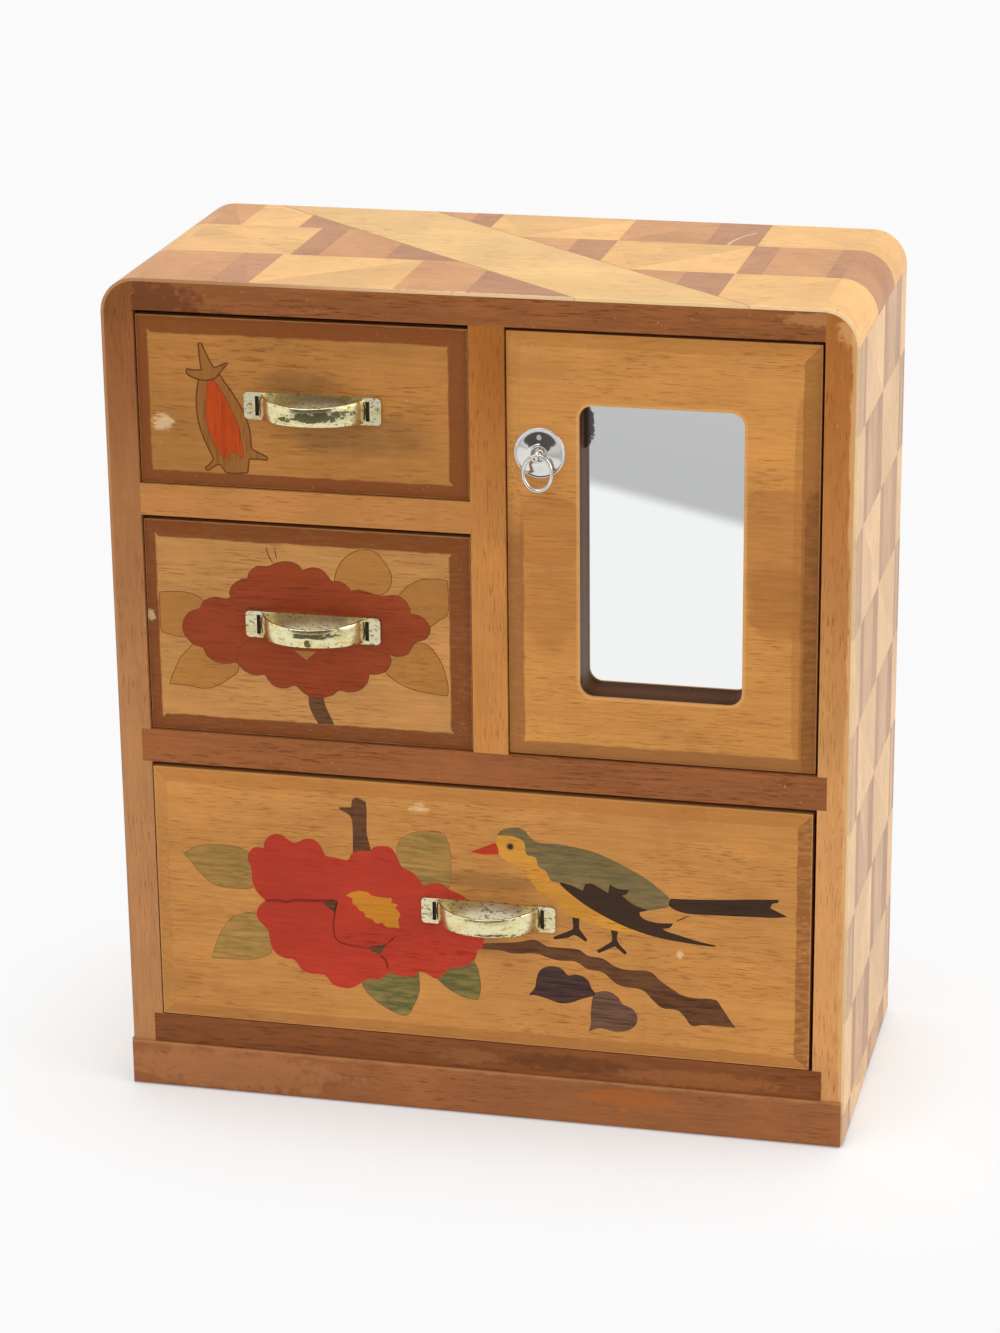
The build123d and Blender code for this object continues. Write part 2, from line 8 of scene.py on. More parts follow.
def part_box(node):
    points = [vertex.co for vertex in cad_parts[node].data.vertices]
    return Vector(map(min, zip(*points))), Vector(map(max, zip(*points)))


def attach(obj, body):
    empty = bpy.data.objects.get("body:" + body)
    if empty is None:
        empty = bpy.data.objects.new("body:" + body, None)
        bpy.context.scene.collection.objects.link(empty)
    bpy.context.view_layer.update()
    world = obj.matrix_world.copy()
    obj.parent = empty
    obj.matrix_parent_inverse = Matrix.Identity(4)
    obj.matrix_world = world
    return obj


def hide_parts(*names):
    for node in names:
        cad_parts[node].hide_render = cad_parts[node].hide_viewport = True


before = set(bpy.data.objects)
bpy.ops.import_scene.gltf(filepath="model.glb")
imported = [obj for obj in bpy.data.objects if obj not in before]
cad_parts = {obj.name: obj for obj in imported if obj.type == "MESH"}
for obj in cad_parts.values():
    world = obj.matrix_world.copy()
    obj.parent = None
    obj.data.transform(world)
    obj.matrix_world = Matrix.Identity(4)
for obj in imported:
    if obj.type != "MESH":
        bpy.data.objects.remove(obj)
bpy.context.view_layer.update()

# Millimetres in this file, metres in the scene.
MM = 0.001

# ------------------------------------------------------------------ places read from the frame
def box_mm(node):
    """Lowest and highest corner of a CAD node in millimetres."""
    low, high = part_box(node)
    return [v / MM for v in low], [v / MM for v in high]


FRONT_Y = box_mm("side_left")[0][1]
TOP_Z = box_mm("parquet_top_light")[1][2]
HALF_WIDTH = box_mm("parquet_side_light")[1][0]
PLINTH_TOP = box_mm("plinth_front")[1][2]
DRAWERS = ("top_drawer", "middle_drawer", "bottom_drawer")
PLINTH_RAILS = ("plinth_front", "plinth_back", "plinth_left", "plinth_right")


# ------------------------------------------------------------------ colour
def linear(red, green, blue):
    """Linear colour from its 0 to 255 values on screen."""
    def channel(value):
        value = value / 255
        return value / 12.92 if value <= 0.04045 else ((value + 0.055) / 1.055) ** 2.4
    return (channel(red), channel(green), channel(blue), 1.0)


WORN = linear(236, 206, 158)


# ------------------------------------------------------------------ shader graphs
ISLAND_REACH = (40.0, 92.0, 68.0)   # how far the grain may shift from tile to tile


class Graph:
    """Short calls for building one material's node tree."""

    def __init__(self, name):
        self.material = bpy.data.materials.new(name)
        self.material.use_nodes = True
        self.tree = self.material.node_tree
        self.tree.nodes.clear()
        self.output = self.tree.nodes.new("ShaderNodeOutputMaterial")
        self.shader = self.tree.nodes.new("ShaderNodeBsdfPrincipled")
        self.tree.links.new(self.shader.outputs[0], self.output.inputs[0])
        self.coords = self.tree.nodes.new("ShaderNodeTexCoord").outputs["Object"]
        self.split = None

    def put(self, socket, value):
        """Link a socket, or set its plain value."""
        if isinstance(value, bpy.types.NodeSocket):
            self.tree.links.new(value, socket)
        else:
            socket.default_value = value

    def node(self, kind, inputs=(), **settings):
        made = self.tree.nodes.new(kind)
        for key, value in settings.items():
            setattr(made, key, value)
        for index, value in inputs:
            self.put(made.inputs[index], value)
        return made

    def math(self, operation, a, b=0.0):
        return self.node("ShaderNodeMath", ((0, a), (1, b)), operation=operation).outputs[0]

    def times(self, a, b):
        return self.math("MULTIPLY", a, b)

    def plus(self, a, b):
        return self.math("ADD", a, b)

    def minus(self, a, b):
        return self.math("SUBTRACT", a, b)

    def rest(self, share):
        """What a share leaves of 1."""
        return self.minus(1.0, share)

    def larger(self, a, b):
        return self.math("MAXIMUM", a, b)

    def smaller(self, a, b):
        return self.math("MINIMUM", a, b)

    def size(self, a):
        return self.math("ABSOLUTE", a)

    def swing(self, noise, reach, middle=0.5):
        """Noise carried to both sides of 0."""
        return self.times(self.minus(noise, middle), reach)

    def past_box(self, a, b, half_a, half_b):
        """How far a place lies outside a rectangle around the middle."""
        outs = [self.larger(self.minus(self.size(v), half), 0.0) for v, half in ((a, half_a), (b, half_b))]
        return self.math("SQRT", self.plus(self.times(outs[0], outs[0]), self.times(outs[1], outs[1])))

    def axis(self, index):
        """One object coordinate in millimetres."""
        if self.split is None:
            self.split = self.node("ShaderNodeSeparateXYZ", ((0, self.coords),))
        return self.math("DIVIDE", self.split.outputs[index], MM)

    def vector(self, operation, a, b):
        return self.node("ShaderNodeVectorMath", ((0, a), (1, b)), operation=operation).outputs[0]

    def mapped(self, scale, offset=None):
        """Object coordinates in millimetres, times a scale for each axis, plus an offset."""
        scaled = self.vector("MULTIPLY", self.coords, tuple(s / MM for s in scale))
        return scaled if offset is None else self.vector("ADD", scaled, offset)

    def noise(self, cycles, detail, roughness, offset=None):
        """Noise with so many cycles for each millimetre of each axis."""
        vector = self.mapped(cycles, offset)
        inputs = (("Vector", vector), ("Scale", 1.0), ("Detail", detail), ("Roughness", roughness))
        return self.node("ShaderNodeTexNoise", inputs).outputs[0]

    def span(self, value, low, high):
        """0 below low and 1 above high, with a soft step between."""
        made = self.node("ShaderNodeMapRange", ((0, value), (1, low), (2, high)))
        made.interpolation_type = "SMOOTHSTEP"
        return made.outputs[0]

    def below(self, value, low, high):
        """1 below low and 0 above high."""
        return self.rest(self.span(value, low, high))

    def between(self, value, low, high, from_low, from_high):
        """A value carried from one range to another."""
        return self.node(
            "ShaderNodeMapRange", ((0, value), (1, low), (2, high), (3, from_low), (4, from_high))
        ).outputs[0]

    def mix(self, share, a, b):
        made = self.node("ShaderNodeMix", data_type="RGBA")
        self.put(made.inputs[0], share)
        self.put(made.inputs[6], a)
        self.put(made.inputs[7], b)
        return made.outputs[2]

    def random_offset(self):
        """An offset that differs from island to island, so no two tiles share their grain."""
        island = self.node("ShaderNodeNewGeometry").outputs["Random Per Island"]
        shifts = [(axis, self.times(island, reach)) for axis, reach in enumerate(ISLAND_REACH)]
        return island, self.node("ShaderNodeCombineXYZ", shifts).outputs[0]

    def without_alpha(self, colour):
        return colour[:3] if isinstance(colour, tuple) else colour

    def scaled(self, colour, amount):
        """A colour made lighter or darker by a factor."""
        inputs = ((0, self.without_alpha(colour)), (3, amount))
        return self.node("ShaderNodeVectorMath", inputs, operation="SCALE").outputs[0]

    def tinted(self, colour, tone):
        """A colour multiplied by a tone."""
        return self.vector("MULTIPLY", self.without_alpha(colour), tone[:3])

    def bump(self, height, distance, strength):
        inputs = (("Height", height), ("Distance", distance * MM), ("Strength", strength))
        self.put(self.shader.inputs["Normal"], self.node("ShaderNodeBump", inputs).outputs[0])

    def finish(self, colour, roughness, metallic=0.0, coat=0.0, coat_roughness=0.1):
        self.put(self.shader.inputs["Base Color"], colour)
        self.put(self.shader.inputs["Roughness"], roughness)
        self.shader.inputs["Metallic"].default_value = metallic
        self.shader.inputs["Coat Weight"].default_value = coat
        self.shader.inputs["Coat Roughness"].default_value = coat_roughness
        return self.material


# ------------------------------------------------------------------ wood
GRAIN_X, GRAIN_Y, GRAIN_Z = 0, 1, 2


def grain_scale(direction, along, across):
    """Noise cycles for each millimetre, drawn out along the grain."""
    return tuple(along if axis == direction else across for axis in range(3))


PORE = linear(196, 172, 152)     # what the wood is multiplied by in its pores


def wood_colour(g, tone, direction, contrast=0.14, islands=False, seed=0.0, dashes=0.45, bands=0.45):
    """Bands, fibres and short dark pores of a planed board around its mean tone."""
    if islands:
        island, offset = g.random_offset()
    else:
        island, offset = None, (seed * 7.3, seed * 3.1, seed * 5.7)
    band = g.noise(grain_scale(direction, 0.008, 0.06), 3.0, 0.6, offset)
    fibre = g.noise(grain_scale(direction, 0.06, 0.95), 5.0, 0.7, offset)
    dash = g.noise(grain_scale(direction, 0.17, 2.1), 2.0, 0.5, offset)
    crowd = g.noise(grain_scale(direction, 0.02, 0.07), 2.0, 0.5, offset)
    blotch = g.noise((0.035, 0.035, 0.035), 4.0, 0.6, offset)
    share = g.plus(g.times(band, bands), g.times(fibre, 1.0 - bands))
    colour = g.mix(g.span(share, 0.34, 0.66), g.scaled(tone, 1.0 - contrast), g.scaled(tone, 1.0 + contrast))
    pores = g.times(g.span(dash, 0.54, 0.68), g.span(crowd, 0.34, 0.60))
    colour = g.mix(g.times(pores, min(1.0, dashes * 1.5)), colour, g.tinted(colour, PORE))
    colour = g.scaled(colour, g.between(blotch, 0.3, 0.7, 0.90, 1.10))
    if islands:
        colour = g.scaled(colour, g.between(island, 0.0, 1.0, 0.93, 1.07))
    return colour, fibre


SHEEN = 0.1                 # specular level of the old wood and of the paper floor
THIN_COAT = 0.02


def lacquer(g, colour, fibre, coat=THIN_COAT):
    """Old, nearly matt lacquer over wood."""
    g.bump(fibre, 0.03, 0.5)
    g.shader.inputs["Specular IOR Level"].default_value = SHEEN
    rough = g.between(fibre, 0.2, 0.8, 0.35, 0.49)
    return g.finish(colour, rough, coat=coat, coat_roughness=0.25)


def board_material(name, tone, direction, contrast=0.14, islands=False, seed=0.0, dashes=0.45, bands=0.45,
                   coat=THIN_COAT, worn=()):
    """Plain lacquered wood. Each function in worn may change parts of the colour."""
    g = Graph(name)
    colour, fibre = wood_colour(g, linear(*tone), direction, contrast, islands, seed, dashes, bands)
    for change in worn:
        colour = change(g, colour)
    return lacquer(g, colour, fibre, coat=coat)


def paint(node, material):
    """Give a CAD node one material in every slot."""
    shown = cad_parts[node]
    shown.data.materials.clear()
    shown.data.materials.append(material)


# ------------------------------------------------------------------ eased edges of CAD nodes
def ease(node, width, inside):
    """Round the edges whose two ends both pass the test, with a bevel modifier."""
    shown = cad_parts[node]
    group = shown.vertex_groups.new(name="eased")
    chosen = [v.index for v in shown.data.vertices if inside(v.co / MM)]
    group.add(chosen, 1.0, "REPLACE")
    bevel = shown.modifiers.new("eased", "BEVEL")
    bevel.limit_method = "VGROUP"
    bevel.vertex_group = "eased"
    bevel.width = width * MM
    bevel.segments = 3
    bevel.profile = 0.6
    flat = shown.modifiers.new("flat_faces", "WEIGHTED_NORMAL")
    flat.weight = 100


def ease_all(node, width, segments):
    """Round every sharp edge of a CAD node."""
    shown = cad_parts[node]
    bevel = shown.modifiers.new("eased", "BEVEL")
    bevel.limit_method = "ANGLE"
    bevel.angle_limit = math.radians(40)
    bevel.width = width * MM
    bevel.segments = segments


# ------------------------------------------------------------------ meshes of this file
def shown_object(name, mesh, material):
    """An object of the scene with one material."""
    made = bpy.data.objects.new(name, mesh)
    bpy.context.scene.collection.objects.link(made)
    made.data.materials.append(material)
    return made


def piece_from(name, vertices, faces, material, body, smooth=False):
    """A new piece, its points in millimetres in the row frame, riding on a body."""
    mesh = bpy.data.meshes.new(name)
    mesh.from_pydata([tuple(c * MM for c in v) for v in vertices], [], faces)
    work = bmesh.new()
    work.from_mesh(mesh)
    bmesh.ops.remove_doubles(work, verts=work.verts, dist=1e-7)
    bmesh.ops.recalc_face_normals(work, faces=work.faces)
    flat = [f for f in work.faces if len(f.verts) > 4]
    bmesh.ops.triangulate(work, faces=flat, ngon_method="EAR_CLIP")
    work.to_mesh(mesh)
    work.free()
    if smooth:
        mesh.shade_smooth()
    made = shown_object(name, mesh, material)
    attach(made, body)
    return made


CORNER = math.radians(62)   # a sharper turn than this stays a corner
CURVE_STEPS = 4


def smooth_outline(points, closed=True):
    """A curve through given points, with corners kept where the outline turns sharply."""
    count = len(points)
    vectors = [Vector(p) for p in points]

    def neighbour(i, step):
        j = i + step
        return vectors[j % count] if closed or 0 <= j < count else None

    def is_corner(i):
        before, after = neighbour(i, -1), neighbour(i, 1)
        if before is None or after is None:
            return True
        return (vectors[i] - before).angle(after - vectors[i], 0.0) > CORNER

    def tangent(i, chord):
        if is_corner(i):
            return chord
        return (neighbour(i, 1) - neighbour(i, -1)).normalized() * chord.length

    curve = []
    for i in range(count if closed else count - 1):
        start, end = vectors[i], vectors[(i + 1) % count]
        chord = end - start
        leave, arrive = tangent(i, chord), tangent((i + 1) % count, chord)
        for step in range(CURVE_STEPS):
            t = step / CURVE_STEPS
            curve.append(
                (2 * t**3 - 3 * t**2 + 1) * start + (t**3 - 2 * t**2 + t) * leave
                + (3 * t**2 - 2 * t**3) * end + (t**3 - t**2) * arrive
            )
    if not closed:
        curve.append(vectors[-1])
    return curve


def grown_outline(curve, by):
    """A closed outline moved outwards."""
    area = sum(a.x * b.y - b.x * a.y for a, b in zip(curve, curve[1:] + curve[:1])) / 2
    turn = 1.0 if area > 0 else -1.0
    grown = []
    for i, point in enumerate(curve):
        along = (curve[(i + 1) % len(curve)] - curve[i - 1]).normalized()
        grown.append(point + Vector((along.y, -along.x)) * by * turn)
    return grown


LAYER = 0.012       # each layer of inlay stands this far before the one below
INLAY_SUNK = 0.1


def inlay(name, curve, face_y, layer, material, body):
    """A flat piece of inlaid veneer with the outline given in x and z."""
    count = len(curve)
    near = face_y - LAYER * layer
    far = face_y + INLAY_SUNK
    vertices = [(p.x, near, p.y) for p in curve] + [(p.x, far, p.y) for p in curve]
    faces = [list(range(count)), list(range(2 * count - 1, count - 1, -1))]
    faces += [(i, (i + 1) % count, count + (i + 1) % count, count + i) for i in range(count)]
    return piece_from(name, vertices, faces, material, body)


LINE_TAPER = 0.35           # a cut line's width at its ends, as a share of its width


def line_outline(points, width):
    """Outline of a thin cut line through points, narrower at its ends."""
    curve = smooth_outline(points, closed=False)
    left, right = [], []
    for i, point in enumerate(curve):
        along = (curve[min(i + 1, len(curve) - 1)] - curve[max(i - 1, 0)]).normalized()
        half = width / 2 * (LINE_TAPER if i in (0, len(curve) - 1) else 1.0)
        side = Vector((-along.y, along.x)) * half
        left.append(point + side)
        right.append(point - side)
    return left + right[::-1]


def skin(rings, around, closed=False):
    """Faces between neighbouring rings of points."""
    faces = []
    for ring in range(rings if closed else rings - 1):
        here, there = ring * around, (ring + 1) % rings * around
        for step in range(around):
            after = (step + 1) % around
            faces.append((here + step, here + after, there + after, there + step))
    return faces


def lathe(name, profile, centre, axis, material, body, turns=72):
    """A turned piece: profile is (radius, distance along axis) points from its middle outwards."""
    axis = Vector(axis).normalized()
    side = Vector((0, 0, 1)) if abs(axis.z) < 0.9 else Vector((1, 0, 0))
    side = (side - axis * side.dot(axis)).normalized()
    other = axis.cross(side)
    vertices = []
    for radius, rise in profile:
        for step in range(turns):
            angle = math.tau * step / turns
            spoke = side * math.cos(angle) + other * math.sin(angle)
            vertices.append(tuple(Vector(centre) + axis * rise + spoke * radius))
    return piece_from(name, vertices, skin(len(profile), turns), material, body, smooth=True)


def ring_tube(name, centre, half_level, half_up, radius, plane, material, body, turns=96, sides=20):
    """An oval wire ring that lies across x or across y."""
    across = Vector((0, 1, 0)) if plane == "y" else Vector((1, 0, 0))
    level = Vector((1, 0, 0)) if plane == "y" else Vector((0, 1, 0))
    upright = Vector((0, 0, 1))
    vertices = []
    for step in range(turns):
        angle = math.tau * step / turns
        middle = level * (half_level * math.cos(angle)) + upright * (half_up * math.sin(angle))
        outward = level * (math.cos(angle) / half_level) + upright * (math.sin(angle) / half_up)
        outward.normalize()
        for side in range(sides):
            turn = math.tau * side / sides
            offset = outward * math.cos(turn) * radius + across * math.sin(turn) * radius
            vertices.append(tuple(Vector(centre) + middle + offset))
    return piece_from(name, vertices, skin(turns, sides, True), material, body, smooth=True)


# ------------------------------------------------------------------ case
def ellipse_mask(g, x, z, place, ragged, soft, power=2.0):
    """1 inside an ellipse given as (x, z, half width, half height), with a ragged edge; a higher
    power squares it off."""
    across = g.size(g.math("DIVIDE", g.minus(x, place[0]), place[2]))
    up = g.size(g.math("DIVIDE", g.minus(z, place[1]), place[3]))
    reach = g.plus(g.math("POWER", across, power), g.math("POWER", up, power))
    return g.below(g.plus(reach, ragged), 1.0 - soft, 1.0 + soft * 0.2)


def worn_front(reach, amount):
    """Light, ragged wear along the front edges of the case."""
    def apply(g, colour):
        ragged = g.noise((0.4, 0.4, 0.4), 5.0, 0.7)
        depth = g.minus(g.axis(1), FRONT_Y)
        edge = g.minus(depth, g.swing(ragged, reach * 4, 0.35))
        near = g.below(edge, -0.3, 0.5)
        return g.mix(g.times(near, amount), colour, WORN)
    return apply


def specks(size, amount):
    """Small pale marks scattered over a surface."""
    def apply(g, colour):
        grain = g.noise((1 / size, 1 / size, 1 / size), 3.0, 0.6)
        region = g.span(g.noise((0.03, 0.03, 0.03), 2.0, 0.5), 0.42, 0.60)
        return g.mix(g.times(g.times(g.span(grain, 0.66, 0.74), region), amount), colour, WORN)
    return apply


def rubbed_side(x_edge, reach, amount, tone):
    """A lighter, ragged strip along the outer side of a stile."""
    def apply(g, colour):
        ragged = g.noise((0.35, 0.35, 0.09), 5.0, 0.65)
        inward = g.minus(x_edge, g.axis(0))
        edge = g.minus(inward, g.swing(ragged, reach * 4, 0.25))
        near = g.below(edge, -0.4, 0.5)
        return g.mix(g.times(near, amount), colour, tone)
    return apply


def worn_patch(place, amount, tone=WORN):
    """A pale, ragged worn place given as (x, z, half width, half height)."""
    def apply(g, colour):
        ragged = g.swing(g.noise((0.25, 0.25, 0.25), 5.0, 0.7), 4.0)
        return g.mix(g.times(ellipse_mask(g, g.axis(0), g.axis(2), place, ragged, 0.6), amount), colour, tone)
    return apply


def painted_floor_light(tone, z_from, z_to):
    """Painted light: a board whose colour drifts to a darker tone between two heights, so that its lower part
    looks lit from the floor.
    """
    def apply(g, colour):
        wobble = g.swing(g.noise((0.02, 0.02, 0.02), 3.0, 0.6), 60.0)
        share = g.between(g.plus(g.axis(2), wobble), z_from, z_to, 0.0, 1.0)
        return g.mix(share, colour, g.tinted(colour, linear(*tone)))
    return apply


RUB_HEIGHT = 1.2            # how far the plinth's rubbed upper edge reaches down


def plinth_wear(g, colour):
    """Rubbed upper edge and a few orange patches where the stain is gone."""
    ragged = g.noise((0.12, 0.12, 0.4), 4.0, 0.6)
    rise = g.minus(g.axis(2), PLINTH_TOP - RUB_HEIGHT)
    edge = g.span(g.plus(rise, g.swing(ragged, 3.0)), -0.2, 1.2)
    colour = g.mix(g.times(edge, 0.4), colour, linear(200, 148, 98))
    patches = g.span(g.noise((0.045, 0.045, 0.07), 4.0, 0.65), 0.60, 0.66)
    return g.mix(g.times(patches, 0.45), colour, linear(186, 106, 44))


LEFT_END_DARK = worn_patch((-112.0, 268.0, 30.0, 12.0), 0.7, linear(98, 52, 26))
CASE_X = board_material("case_brown", (143, 86, 45), GRAIN_X, 0.2, seed=1.0, dashes=0.55,
                        worn=(specks(1.1, 0.35), LEFT_END_DARK,
                              worn_patch((108.0, 274.5, 14.0, 2.2), 0.4, linear(206, 146, 86))))
CASE_SHELF = board_material("shelf_brown", (146, 88, 48), GRAIN_X, 0.18, seed=2.0, dashes=0.55,
                            worn=(specks(1.1, 0.3),))
BOTTOM_BROWN = board_material(
    "bottom_brown", (130, 76, 39), GRAIN_X, 0.18, seed=2.6, dashes=0.5,
    worn=(worn_patch((30.0, 21.0, 26.0, 3.2), 0.55, linear(92, 52, 26)),
          worn_patch((72.0, 19.5, 30.0, 3.0), 0.5, linear(160, 102, 56)),
          worn_patch((-4.0, 20.5, 12.0, 3.0), 0.4, linear(158, 104, 62))),
)
PLINTH = board_material("plinth_brown", (152, 95, 56), GRAIN_X, 0.18, seed=3.0, dashes=0.5,
                        worn=(plinth_wear, worn_patch((-85.0, 8.0, 42.0, 8.0), 0.5, linear(180, 122, 78)),
                              worn_patch((50.0, 11.0, 17.0, 3.6), 0.55, linear(176, 98, 38)),
                              specks(0.9, 0.4)))
SMALL_SHELF = board_material("shelf_tan", (184, 124, 66), GRAIN_X, 0.1, seed=4.0, worn=(specks(1.0, 0.3),))
PAINTED_UPPER_SHADE = (214, 192, 150)    # what a board is multiplied by towards its top: painted shade, the lower part left lighter as if lit from the floor
STILE_EDGE = box_mm("side_right")[1][0]
STILE_RUB = rubbed_side(STILE_EDGE, 1.1, 0.6, linear(222, 172, 116))
CORNER_RUB = worn_patch((117.0, 272.0, 4.5, 5.5), 0.5, linear(222, 168, 106))
# The divider and both stiles carry painted light: darker towards the top, lighter below as if lit from the
# floor.
DIVIDER = board_material("divider_tan", (194, 130, 66), GRAIN_Z, 0.1, seed=5.0,
                         worn=(painted_floor_light(PAINTED_UPPER_SHADE, 190, 260), specks(1.0, 0.25)))
STILE_LEFT = board_material("stile_brown", (180, 126, 80), GRAIN_Z, 0.12, seed=6.0,
                            worn=(painted_floor_light((194, 168, 138), 110, 275), specks(1.0, 0.4)))
STILE_RIGHT = board_material("stile_light", (204, 146, 88), GRAIN_Z, 0.1, seed=7.0,
                             worn=(painted_floor_light((208, 180, 140), 110, 250), specks(1.2, 0.35), STILE_RUB, CORNER_RUB))
INNER = board_material("drawer_wood", (206, 164, 114), GRAIN_Y, 0.1, seed=8.0, coat=0.0)
INNER_X = board_material("drawer_wood_across", (206, 164, 114), GRAIN_X, 0.1, seed=9.0, coat=0.0)
THIN = board_material("thin_board", (190, 150, 104), GRAIN_Z, 0.12, seed=10.0, coat=0.0)

for board, material in (
    ("top_board", CASE_X), ("bottom_board", BOTTOM_BROWN), ("middle_shelf", CASE_SHELF),
    ("small_shelf", SMALL_SHELF), ("vertical_divider", DIVIDER), ("side_left", STILE_LEFT),
    ("side_right", STILE_RIGHT), ("back_panel", THIN), ("door_stop", DIVIDER), ("door_backing", THIN),
):
    paint(board, material)
for rail in PLINTH_RAILS:
    paint(rail, PLINTH)
for drawer in DRAWERS:
    for wall in ("side_left", "side_right", "bottom"):
        paint(f"{drawer}_{wall}", INNER)
    paint(f"{drawer}_back", INNER_X)


# ------------------------------------------------------------------ parquetry
BAND_EDGE = 31.9            # where the band's left edge meets the front
BAND_RUN = 1.13             # how far it moves left for each millimetre of depth
BAND_WIDTH = 54.4
BAND_LINE = 0.45            # dark line along both its edges


def band_lines(g, colour):
    """The thin dark lines on both sides of the diagonal band."""
    depth = g.minus(g.axis(1), FRONT_Y)
    across = g.plus(g.axis(0), g.minus(g.times(depth, BAND_RUN), BAND_EDGE))
    nearest = g.smaller(across, g.minus(BAND_WIDTH, across))
    line = g.below(nearest, BAND_LINE, BAND_LINE * 2.0)
    return g.mix(g.times(line, 0.6), colour, linear(120, 74, 40))


SCRATCH = ((66.0, 78.0), (72.0, 97.0))     # a pale scratch on the top, x and depth of its ends


def scratch(g, colour):
    """One long pale scratch, slightly bowed."""
    (x0, y0), (x1, y1) = SCRATCH
    depth = g.minus(g.axis(1), FRONT_Y)
    along = g.between(depth, y0, y1, 0.0, 1.0)
    bow = g.times(g.times(along, g.rest(along)), -6.0)
    middle = g.plus(g.plus(x0, g.times(along, x1 - x0)), bow)
    off = g.size(g.minus(g.axis(0), middle))
    inside = g.times(g.span(depth, y0 - 1, y0), g.below(depth, y1, y1 + 1))
    line = g.times(g.below(off, 0.2, 0.7), inside)
    return g.mix(g.times(line, 0.6), colour, WORN)


def stained_edge(g, colour):
    """The sheet's front edge is stained brown on the left half of the case."""
    depth = g.minus(g.axis(1), FRONT_Y)
    near = g.below(depth, 0.5, 1.3)
    left = g.below(g.axis(0), -90.0, 10.0)
    return g.mix(g.times(g.times(near, left), 0.8), colour, linear(160, 102, 60))


TOP_WEAR = worn_front(1.1, 0.75)
SIDE_WEAR = worn_front(1.4, 0.6)
TOP_MARKS = (TOP_WEAR, stained_edge, specks(1.2, 0.3))
SIDE_MARKS = (SIDE_WEAR, stained_edge)
for node, name, tone, direction, contrast, worn in (
    ("top_light", "tile_light", (226, 176, 112), GRAIN_X, 0.08, TOP_MARKS),
    ("top_orange", "tile_orange", (200, 144, 96), GRAIN_X, 0.09, TOP_MARKS),
    ("top_mauve", "tile_mauve", (182, 130, 92), GRAIN_X, 0.12,
     (TOP_WEAR, stained_edge, scratch, specks(1.2, 0.3))),
    ("side_light", "side_light", (218, 180, 136), GRAIN_Z, 0.09, SIDE_MARKS),
    ("side_mid", "side_mid", (198, 160, 124), GRAIN_Z, 0.11, SIDE_MARKS),
    ("side_dark", "side_dark", (180, 140, 110), GRAIN_Z, 0.12, SIDE_MARKS),
):
    paint(f"parquet_{node}", board_material(name, tone, direction, contrast, True, bands=0.3, worn=worn))
paint("parquet_band", board_material("tile_band", (222, 179, 118), GRAIN_X, 0.08, seed=12.0, bands=0.3,
                                     worn=(band_lines, worn_front(1.0, 0.5))))


CORNER_RADIUS = 11.5        # the sheet's rounded upper corners
ON_EDGE = 0.2               # a point this near to the outer faces is on the edge
ON_CORNER = 0.3


def on_outer_front_edge(point):
    """True on the outer front edge of the parquetry sheet."""
    if abs(point.y - FRONT_Y) > 0.01:
        return False
    past_x = abs(point.x) - (HALF_WIDTH - CORNER_RADIUS)
    past_z = point.z - (TOP_Z - CORNER_RADIUS)
    if past_x > 0 and past_z > 0:
        return math.hypot(past_x, past_z) > CORNER_RADIUS - ON_CORNER
    return past_x > CORNER_RADIUS - ON_EDGE or past_z > CORNER_RADIUS - ON_EDGE


SHEET_NODES = ("parquet_top_light", "parquet_top_orange", "parquet_top_mauve", "parquet_band",
               "parquet_side_light", "parquet_side_mid", "parquet_side_dark")
for node in SHEET_NODES:
    ease(node, 1.0, on_outer_front_edge)


